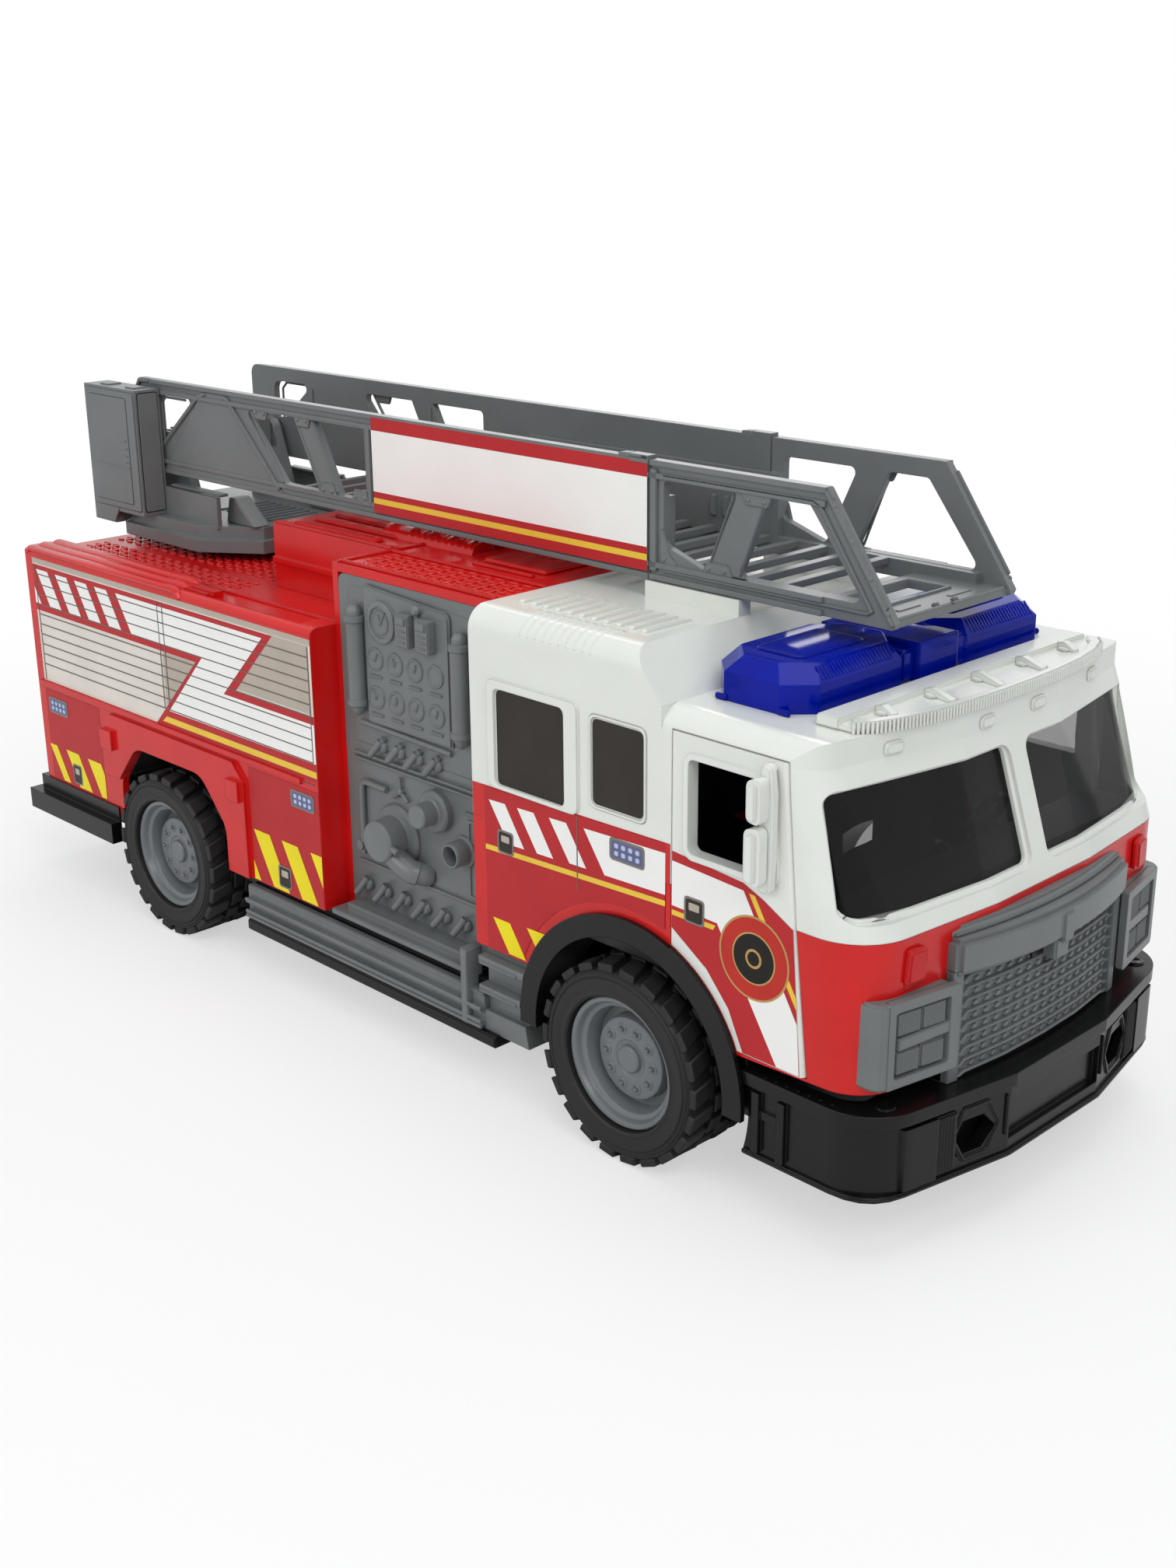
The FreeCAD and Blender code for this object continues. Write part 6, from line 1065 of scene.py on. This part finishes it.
def addPumpPanel(name, hand):
    settings = {"switches": ((111.4, 3.4), (119.6, 3.8)), "switchBars": (112.2, 113.6, 115.0),
                "gaugeRows": (105.3, 95.2), "gaugeColumns": (101.0, 108.8, 116.5, 124.3),
                "needles": (0.9, -0.6, 0.5, 0.0, -0.9, 0.2, 0.9, 0.6), "cylinders": (93.6, 134.1),
                "levers": (99.8, 106.9, 114.1, 121.4), "seams": ((78.2, 1.1), (76.6, 0.8)),
                "spokes": (95, 215, 325), "valves": (90.8, 98.6, 106.6, 114.4, 122.4, 130.2)}
    s, piece, face = settings, Piece("pump_panel_" + name + "_detail"), panelFace
    (x0, x1), _, (z0, z1) = boxOf("pump_panel_right")

    def put(outline, low, high, edge=0.2, holes=()):  # side-drawing numbers, and heights over the panel
        spots, *rooms = [[(zeroX + x, zeroZ + z, *r) for x, z, *r in loop] for loop in (outline, *holes)]
        piece.prism(spots, "XZ", hand * (face + low), hand * (face + high), edge, holes=rooms)

    def turn(profile, x, z, count=32):
        piece.lathe([(r, hand * (face + out)) for r, out in profile], (zeroX + x, 0, zeroZ + z), "Y", count)

    def bar(points, radius):  # (x, z, out) along a round bar
        piece.tube([(zeroX + x, hand * (face + out), zeroZ + z) for x, z, out in points], radius, 12)

    piece.prism(rectangle(x0, x1, z0, z1, (0, 0, 0.5, 3)), "XZ", hand * (face - 2.4), hand * face)
    put([(89.5, 81, 0.6), (141, 81, 0.6), (141, 119, 0.8), (139, 121.8, 1), (89.5, 122.6, 2.4)], -0.2, 0.25)
    board = [(96.6, 87.7, 0.8), (129.5, 87.7, 0.8), (129.5, 121.8, 2.6), (96.6, 123.9, 1.2)]
    put(board, 0, 1.3, 0.45)
    turn([(0, 1.2), (5.4, 1.2), (5.4, 2.1), (4.7, 2.4), (4.0, 2.4), (3.9, 1.9), (0, 1.9)], 104.3, 115.4, 40)
    turn([(0, 1.8), (3.1, 1.8), (3.1, 2.1), (2.8, 2.1), (2.7, 1.95), (0, 1.95)], 104.3, 115.4, 32)
    put([(103.9, 114.9), (104.5, 114.6), (106.4, 118.2), (105.9, 118.4)], 1.8, 2.3, 0.1)
    put([(103.2, 117.2), (103.8, 117.4), (104.4, 115.6), (103.9, 115.3)], 1.8, 2.3, 0.1)
    for x, high in s["switches"]:
        put(rectangle(x, x + 5.1, 111, 119.4, 0.4), 1.1, high, 0.35)
        put(rectangle(x + 0.7, x + 4.4, 116.8, 118.9, 0.3), high - 0.2, high + 0.5, 0.2)
        for z in s["switchBars"]:
            put(rectangle(x + 1.0, x + 4.1, z, z + 0.5), high - 0.2, high + 0.25, 0.1)
    turn([(0, 1.2), (1.3, 1.2), (1.3, 2.4), (0.8, 3.1), (0, 3.3)], 118.6, 121.0, 16)
    put(rectangle(118.2, 119.0, 117.6, 121), 1.2, 2.0, 0.15)
    for row, z in enumerate(s["gaugeRows"]):
        for column, x in enumerate(s["gaugeColumns"]):
            turn([(0, 1.2), (2.95, 1.2), (2.95, 1.65), (2.5, 1.8), (2.3, 1.5), (0, 1.5)], x, z, 28)
            lean = s["needles"][row * len(s["gaugeColumns"]) + column]
            if lean or row:  # the last gauge of the upper row has no needle
                put([(x - 0.25, z - 0.6), (x + 0.25, z - 0.6), (x + 0.25 + lean, z + 1.5),
                     (x - 0.25 + lean, z + 1.5)], 1.3, 1.85, 0.08)
                put([(x - 1.1, z - 0.3), (x - 0.7, z - 0.6), (x + 0.9, z + 0.6), (x + 0.6, z + 0.9)], 1.3,
                    1.7, 0.08)
            put(rectangle(x - 2.3, x + 2.3, z - 4.9, z - 4.2, 0.2), 1.2, 1.75, 0.12)
    for x in s["cylinders"]:  # upright, with domes and collars
        shape = [(0, 117.4), (0.9, 117.2), (1.6, 116.5), (1.9, 115.7), (1.9, 114.6), (2.75, 114.4),
                 (2.75, 113.0), (2.35, 112.8), (2.35, 92.6), (2.75, 92.4), (2.75, 91.0), (2.3, 90.8),
                 (1.5, 88.9), (0.6, 88.2), (0, 88.1)]
        piece.lathe([(r, zeroZ + z + 1) for r, z in shape], (zeroX + x, hand * (face + 1.9), 0), "Z", 28)
    bar([(93.2, 87.0, 0.6), (128.6, 86.2, 0.6)], 0.75)
    for x in s["levers"]:  # each over a round base
        turn([(0, 0), (1.9, 0), (1.9, 0.9), (1.4, 1.5), (0, 1.7)], x + 1.4, 82.0, 20)
        bar([(x - 1.2, 79.6, 2.6), (x + 0.4, 81.3, 2.4), (x + 1.6, 83.6, 1.4)], 0.95)
        bar([(x + 1.2, 82.6, 1.0), (x + 2.6, 84.4, 1.0)], 0.8)
    for z, proud in s["seams"]:
        put(rectangle(89.2, 141.6, z - 0.35, z + 0.35, 0.1), -0.1, proud, 0.2)
    bar([(102.4, 70.4, 0.9), (94.4, 70.6, 0.9), (92.6, 70.2, 0.9), (92.0, 68.4, 0.9), (91.9, 53.5, 0.9),
         (91.6, 50.2, 0.9)], 0.85)
    bar([(91.4, 52.6, 0.2), (91.4, 52.6, 2.2)], 1.4)
    for angle in s["spokes"]:
        a = math.radians(angle)
        bar([(108, 71.3, 0.8), (108 + 3.4 * math.cos(a), 71.3 + 3.8 * math.sin(a), 0.7)], 0.42)
    turn([(0, 0), (0.9, 0), (0.9, 1.2), (0.5, 1.5), (0, 1.5)], 108, 71.3, 12)
    turn([(0, 0), (8.5, 0), (8.5, 0.7), (7.9, 1.5), (6.4, 1.6), (5.7, 1.9), (5.6, 7.3), (5.1, 7.9), (0, 7.9)],
         106, 58.8, 48)
    turn([(0, 0), (5.6, 0), (5.6, 1.9), (5.0, 2.6), (3.6, 2.7), (3.2, 3.0), (3.2, 7.2), (2.8, 7.7), (0, 7.7)],
         122.2, 69.8, 40)
    turn([(0, 0), (4.2, 0), (4.2, 0.5), (3.4, 0.8), (3.3, 4.6), (3.0, 5.1), (2.6, 5.1), (2.5, 4.6),
          (2.5, 1.2), (0, 1.2)], 131.7, 61.3, 32)
    elbow = [(103.8, 56.4, 4.0), (107.5, 55.2, 4.6), (112, 53.4, 4.7), (115.4, 52.0, 4.2), (116.4, 51.5, 3.2)]
    bar([(x, z, out - 0.4) for x, z, out in elbow], 3.1)
    bar([(115.2, 52.2, 3.6), (117.2, 51.2, 1.4), (117.4, 50.9, 0.2)], 3.0)
    bar([(108.6, 58.6, 6.6), (113.4, 57.6, 6.8)], 0.9)
    bar([(110.8, 57.4, 5.6), (111.2, 58.0, 6.6)], 0.9)
    put(rectangle(133.2, 138.4, 49.2, 70.2, 0.4), -0.1, 0.4, 0.12,
        holes=[rectangle(134, 137.6, 50, 69.4, 0.3)])
    put(rectangle(132.4, 139, 71.4, 72.2), 0, 0.7, 0.15)
    put(rectangle(89.4, 141.6, 47.4, 48.2, 0.1), -0.1, 0.8, 0.25)
    for x in s["valves"]:
        turn([(0, 0), (2.0, 0), (2.0, 0.9), (1.5, 1.6), (0, 1.8)], x + 1.7, 41.6, 20)
        bar([(x - 0.8, 38.9, 2.7), (x + 0.8, 40.8, 2.5), (x + 2.2, 43.6, 1.3)], 0.95)
    put(rectangle(89.2, 141.6, 33.2, 36.6, 0.3), -0.2, 5.6, 0.5)
    put(rectangle(85.4, 141.6, 33.0, 34.6, 0.3), 2, 8.0, 0.4)
    piece.done(("pump_panel_" + name,))


def addTread(piece, x, y, z, pitch=(5.0, 3.1)):  # chequer plate: two grids of bumps, one turned and shifted
    columns, rows = int((x[1] - x[0]) / pitch[0]), int((y[1] - y[0]) / pitch[1])
    for turn, fewer in ((0, 0), (90, 1)):
        width, height = (columns - fewer) * pitch[0], (rows - fewer) * pitch[1]

        def bump(small):
            small.prism([(-1.5, 0), (-0.825, -0.62), (0.825, -0.62), (1.5, 0), (0.825, 0.62), (-0.825, 0.62)],
                        "XY", -0.15, 0.45, 0.2, 1, spun("Z", turn))

        grid = {"Across": columns + 1 - fewer, "Down": rows + 1 - fewer, "Width": width, "Height": height}
        piece.repeat("rows", bump, grid, moved(middle(x), middle(y), z))


def addBodyTop():
    settings = {"ribs": (48.4, 53.2, 57.4), "ribEnd": -86.5, "deck": 103.2}
    s, piece = settings, Piece("rear_body_trim", look="redPlastic")
    (x0, _), _, (_, top) = rearBox
    deck = s["deck"]
    for hand in (-1, 1):
        for k, y in enumerate(s["ribs"]):
            end, radius = s["ribEnd"] + k * 2.2, 2.1 if k < 2 else 1.7
            path = [(x0 + 1.2, hand * y, top - 1.2), (x0 + 3, hand * y, top - 0.25),
                    (end, hand * y, top - 0.25), (end + 1.8, hand * y, top - 1.0),
                    (end + 2.6, hand * y, top - 2.4)]
            piece.tube(path, radius, 12, 0.58)
        piece.block((-84, -21), across(hand, 44.2, 45.6), (deck - 0.3, deck + 0.9), 0.3)
        addTread(piece, (-160, -76), across(hand, 33.5, 43.0), deck)
        piece.block((-162, -74), across(hand, 44.2, 45.4), (deck - 0.3, deck + 0.7), 0.3)
    addTread(piece, (-160, -78), (-27.9, 27.9), deck)
    piece.done()


def addPumpRoof():
    settings = {"slats": (27.0, 20.0, 13.0, 6.0), "reelRibs": 10, "pitch": 2.7, "roof": 121.5}
    s, piece, roof = settings, Piece("pump_roof_trim", look="redPlastic"), settings["roof"]
    for hand in (-1, 1):
        for y in s["slats"]:
            slat = [(-65.5, roof - 0.2), (-28.5, roof - 0.2), (-29.6, roof + 1.0, 0.5),
                    (-64.4, roof + 1.0, 0.5)]
            piece.prism(slat, "XZ", hand * (y - 1.7), hand * (y + 1.7), 0.45)
        piece.block((-70.8, -19.5), across(hand, 29.3, 30.9), (roof - 0.2, roof + 0.7), 0.3)
        addTread(piece, (-13.5, 38.5), across(hand, 34.4, 46.0), roof, (5.0, 2.9))
        for y in (32.2, 48.3):
            piece.block((-17.5, 41.8), across(hand, y - 0.5, y + 0.5), (roof - 0.2, roof + 0.8), 0.3)
        piece.block((8.6, 31), across(hand, 26.0, 27.4), (roof - 0.2, roof + 0.8), 0.3)
    piece.block((-18.4, -17.2), (-49.4, 49.4), (roof - 0.2, roof + 0.6), 0.25)

    def rib(small):
        outline = [(-20.9, -1), (-20.7, 1.0), (-19.6, 2.5), (-17.6, 3.5), (17.6, 3.5), (19.6, 2.5),
                   (20.7, 1.0), (20.9, -1)]
        small.prism(outline, "YZ", -0.65, 0.65, 0.3, 1)

    path = [(-24.6, 0, roof), (-24.6 + s["pitch"] * (s["reelRibs"] - 1), 0, roof)]
    piece.repeat("along", rib, {"Count": s["reelRibs"]}, path=path)
    piece.block((-26, 1), (-19, 19), (roof - 0.3, roof + 2.9), 1.2, 3)
    piece.prism(rectangle(8.5, 31.5, -23.5, 23.5, 1.5), "XY", roof - 0.2, roof + 1.0, 0.4)
    piece.prism(oval(20, 0, 8.6, 13.5, 32), "XY", roof + 0.8, roof + 1.6, 0.25,
                holes=[oval(20, 0, 7.2, 12.0, 32)])
    piece.prism(rectangle(13.5, 26.5, -1.2, 1.2, 0.5), "XY", roof + 0.8, roof + 1.5, 0.25)
    piece.done()


def addRoofVents():
    settings = {"ribs": 11, "pitch": 3.9, "start": 49.5, "hooks": 10, "roof": 122.2}
    s, piece, roof = settings, Piece("roof_vents", look="whitePlastic"), settings["roof"]
    for hand in (-1, 1):
        def rib(small):
            small.prism([(-7.6, 0, 0.4), (7.6, 0, 0.4), (7.0, 0.7, 0.4), (-7.0, 0.7, 0.4)], "YZ", -0.75, 0.75,
                        0.2, 1)

        path = [(s["start"], hand * 40.4, roof - 0.1),
                (s["start"] + s["pitch"] * (s["ribs"] - 1), hand * 40.4, roof - 0.1)]
        piece.repeat("along", rib, {"Count": s["ribs"]}, path=path)

        def hook(small):
            small.tube([(0, hand * 49.6, 0), (0, hand * 53.2, -0.1), (0, hand * 55.6, -0.9),
                        (0, hand * 57.0, -2.1), (0, hand * 57.9, -4.0)], 0.5, 6)

        path = [(60.0, 0, roof - 0.05), (82.5, 0, roof - 0.05)]
        piece.repeat("along", hook, {"Count": s["hooks"]}, path=path)
        piece.prism(ribbon([(57.4, hand * 50.0), (85.0, hand * 50.0)], 0.6), "XY", roof - 0.2, roof + 0.25,
                    0.1)
    piece.done()


def addSills(name, hand):
    settings = {"rails": (4.0, 5.4, 8.9), "rail": 0.55, "stepSide": 60.0, "ridges": 3, "ridge": 0.22}
    s, piece, (xs, ys, zs) = settings, Piece("sill_trim_" + name), boxOf("sill_" + name)
    outer = max(abs(y) for y in ys)
    strip = rectangle(xs[0] + 1.2, xs[1] + 5.6, zs[0] + 0.1, zs[0] + 3.3, 0.5)
    piece.prism(strip, "XZ", hand * (outer - 8), hand * (outer + 0.7), 0.5, look="blackPlastic")
    for z in (zs[0] + rail for rail in s["rails"]):
        piece.tube([(xs[0] + 0.4, hand * outer, z), (xs[1], hand * outer, z)], s["rail"], 8)
    piece.block((xs[0], xs[1]), across(hand, outer - 3.4, outer - 1.0), (zs[1] - 0.8, zs[1] + 0.5), 0.3)
    post = [(xs[1] - 7.0, zs[0] + 3.4, 0.3), (xs[1] - 4.6, zs[0] + 3.4, 0.3),
            (xs[1] - 4.6, zs[1] + 10.6, 0.3), (xs[1] - 7.0, zs[1] + 11.2, 0.3)]
    piece.prism(post, "XZ", hand * (outer - 5), hand * (outer + 0.45), 0.3)
    (x0, x1), _, (low, high) = boxOf("cab_step_" + name)
    for z in (high - 3.4, low + 12.0):
        tread = across(hand, s["stepSide"] - 3.0, s["stepSide"] + 0.35)
        piece.block((x0 + 0.2, x1 - 3.2), tread, (z - 0.9, z + 0.2), 0.3)
        for k in range(s["ridges"]):
            y = hand * (s["stepSide"] - 0.8 - k)
            piece.tube([(x0 + 0.6, y, z + 0.25), (x1 - 3.8, y, z + 0.25)], s["ridge"], 6)
    piece.done()


def addRearDetails():  # tail lamps, a shutter and its handle across the plain back
    settings = {"slats": 11, "low": 45.0, "pitch": 4.1, "lamps": ((42, "whitePlastic"), (50, "markerLens"))}
    s, piece, back = settings, Piece("rear_wall_trim"), rearBox[0][0]
    for hand in (-1, 1):
        for z, look in s["lamps"]:
            lamp = rectangle(hand * 45, hand * 54.5, z - 3, z + 3, 0.9)
            piece.prism(lamp, "YZ", back + 0.3, back - 0.7, 0.45, look=look)
        piece.prism(rectangle(hand * 43.6, hand * 55.9, 37, 55, 1.2), "YZ", back + 0.2, back - 0.35, 0.2)
    frameLoop = rectangle(-34, 34, 40, 96, 2)
    hole = rectangle(-31.5, 31.5, 42.5, 93.5, 1)
    piece.prism(frameLoop, "YZ", back + 0.2, back - 0.8, 0.3, holes=[hole], look="redPlastic")
    for k in range(s["slats"]):
        z = s["low"] + k * s["pitch"]
        piece.prism(rectangle(-31.4, 31.4, z, z + 3.4), "YZ", back + 0.2, back - 0.45, 0.3)
    piece.tube([(back - 0.8, -7, 43.6), (back - 1.2, -6, 43.6), (back - 1.2, 6, 43.6), (back - 0.8, 7, 43.6)],
               0.6, 8, look="blackPlastic")
    piece.done()


for sideName, hand in sides:
    addPumpPanel(sideName, hand)
    addSills(sideName, hand)
addBodyTop()
addPumpRoof()
addRoofVents()
addRearDetails()
print("body dressed")


# camera, light and floor
def addCamera():
    settings = {"azimuth": 45.54, "elevation": 19.50, "roll": -0.456, "lens": 43.18, "clip": (0.01, 20),
                "place": (0.3625, -0.3339, 0.2277)}
    azimuth, elevation, roll = (math.radians(settings[k]) for k in ("azimuth", "elevation", "roll"))
    back = Vector((math.sin(azimuth) * math.cos(elevation), -math.cos(azimuth) * math.cos(elevation),
                   math.sin(elevation)))
    right = Vector((0, 0, 1)).cross(back).normalized()
    up = back.cross(right)
    level = right * math.cos(roll) + up * math.sin(roll)
    above = up * math.cos(roll) - right * math.sin(roll)
    data = bpy.data.cameras.new("camera")
    data.lens = settings["lens"]
    data.clip_start, data.clip_end = settings["clip"]
    camera = linked("camera", data)
    camera.matrix_world = moved(*settings["place"]) @ Matrix((level, above, back)).transposed().to_4x4()
    bpy.context.scene.camera = camera


def addLamp(name, place, size, power, aim=(0.02, 0, 0.07)):
    data = bpy.data.lights.new(name, "AREA")
    data.shape, data.size, data.size_y, data.energy = "RECTANGLE", size[0], size[1], power
    look = (Vector(aim) - Vector(place)).to_track_quat("-Z", "Y")
    linked(name, data).matrix_world = moved(*place) @ look.to_matrix().to_4x4()


def addWorld():  # a soft room to be lit by, and white paper to be seen
    settings = {"room": (0.93, 0.96, 1, 1), "roomStrength": 0.42, "paper": (1, 1, 1, 1)}
    world = bpy.data.worlds.new("studio")
    world.use_nodes = True
    tree = world.node_tree
    room, end = tree.nodes["Background"], tree.nodes["World Output"]
    paper, mix, ray, most, either = makeNodes(
        tree, "ShaderNodeBackground", "ShaderNodeMixShader", "ShaderNodeLightPath", "ShaderNodeMath",
        "ShaderNodeMath")
    fill(room, {"Color": settings["room"], "Strength": settings["roomStrength"]})
    fill(paper, {"Color": settings["paper"]})
    most.operation = either.operation = "MAXIMUM"
    wire(tree, (ray, "Is Camera Ray", most, 0), (ray, "Is Transmission Ray", most, 1),
         (most, "Value", either, 0), (ray, "Is Glossy Ray", either, 1), (either, "Value", mix, "Fac"),
         (room, "Background", mix, 1), (paper, "Background", mix, 2), (mix, "Shader", end, "Surface"))
    bpy.context.scene.world = world


def addFloor():  # matt paper near the toy that fades to plain white further out
    settings = {"near": 0.16, "far": 0.5, "half": 2.5, "colour": (0.86, 0.86, 0.86, 1), "nearFade": 0.55}
    data, half = bpy.data.meshes.new("floor"), settings["half"]
    data.from_pydata(rectangle(-half, half, -half, half), [], [(0, 1, 2, 3)])
    floor = linked("floor", data)
    material = bpy.data.materials.new("paper")
    material.use_nodes = True
    tree = material.node_tree
    tree.nodes.remove(tree.nodes["Principled BSDF"])
    matt, glow, mix, place, long, fade, ray, both = makeNodes(
        tree, "ShaderNodeBsdfDiffuse", "ShaderNodeEmission", "ShaderNodeMixShader", "ShaderNodeTexCoord",
        "ShaderNodeVectorMath", "ShaderNodeMapRange", "ShaderNodeLightPath", "ShaderNodeMath")
    fill(matt, {"Color": settings["colour"]})
    long.operation, both.operation, fade.interpolation_type = "LENGTH", "MULTIPLY", "SMOOTHSTEP"
    fill(fade, {"From Min": settings["near"], "From Max": settings["far"], "To Min": settings["nearFade"]})
    wire(tree, (place, "Object", long, 0), (long, "Value", fade, "Value"), (fade, "Result", both, 0),
         (ray, "Is Camera Ray", both, 1), (both, "Value", mix, "Fac"), (matt, "BSDF", mix, 1),
         (glow, "Emission", mix, 2), (mix, "Shader", tree.nodes["Material Output"], "Surface"))
    data.materials.append(material)


addCamera()
addLamp("frontSoftbox", (0.95, -0.55, 0.95), (0.7, 0.7), 6.2)
addLamp("sideSoftbox", (-0.25, -1.25, 0.75), (0.9, 0.7), 6.2)
addLamp("topSoftbox", (0.1, 0.15, 1.35), (1.1, 0.7), 6.2)
addLamp("rearSoftbox", (-0.9, 0.9, 0.8), (0.7, 0.7), 3.6)
addWorld()
addFloor()
bpy.context.scene.view_settings.view_transform = "Standard"
print("studio ready")
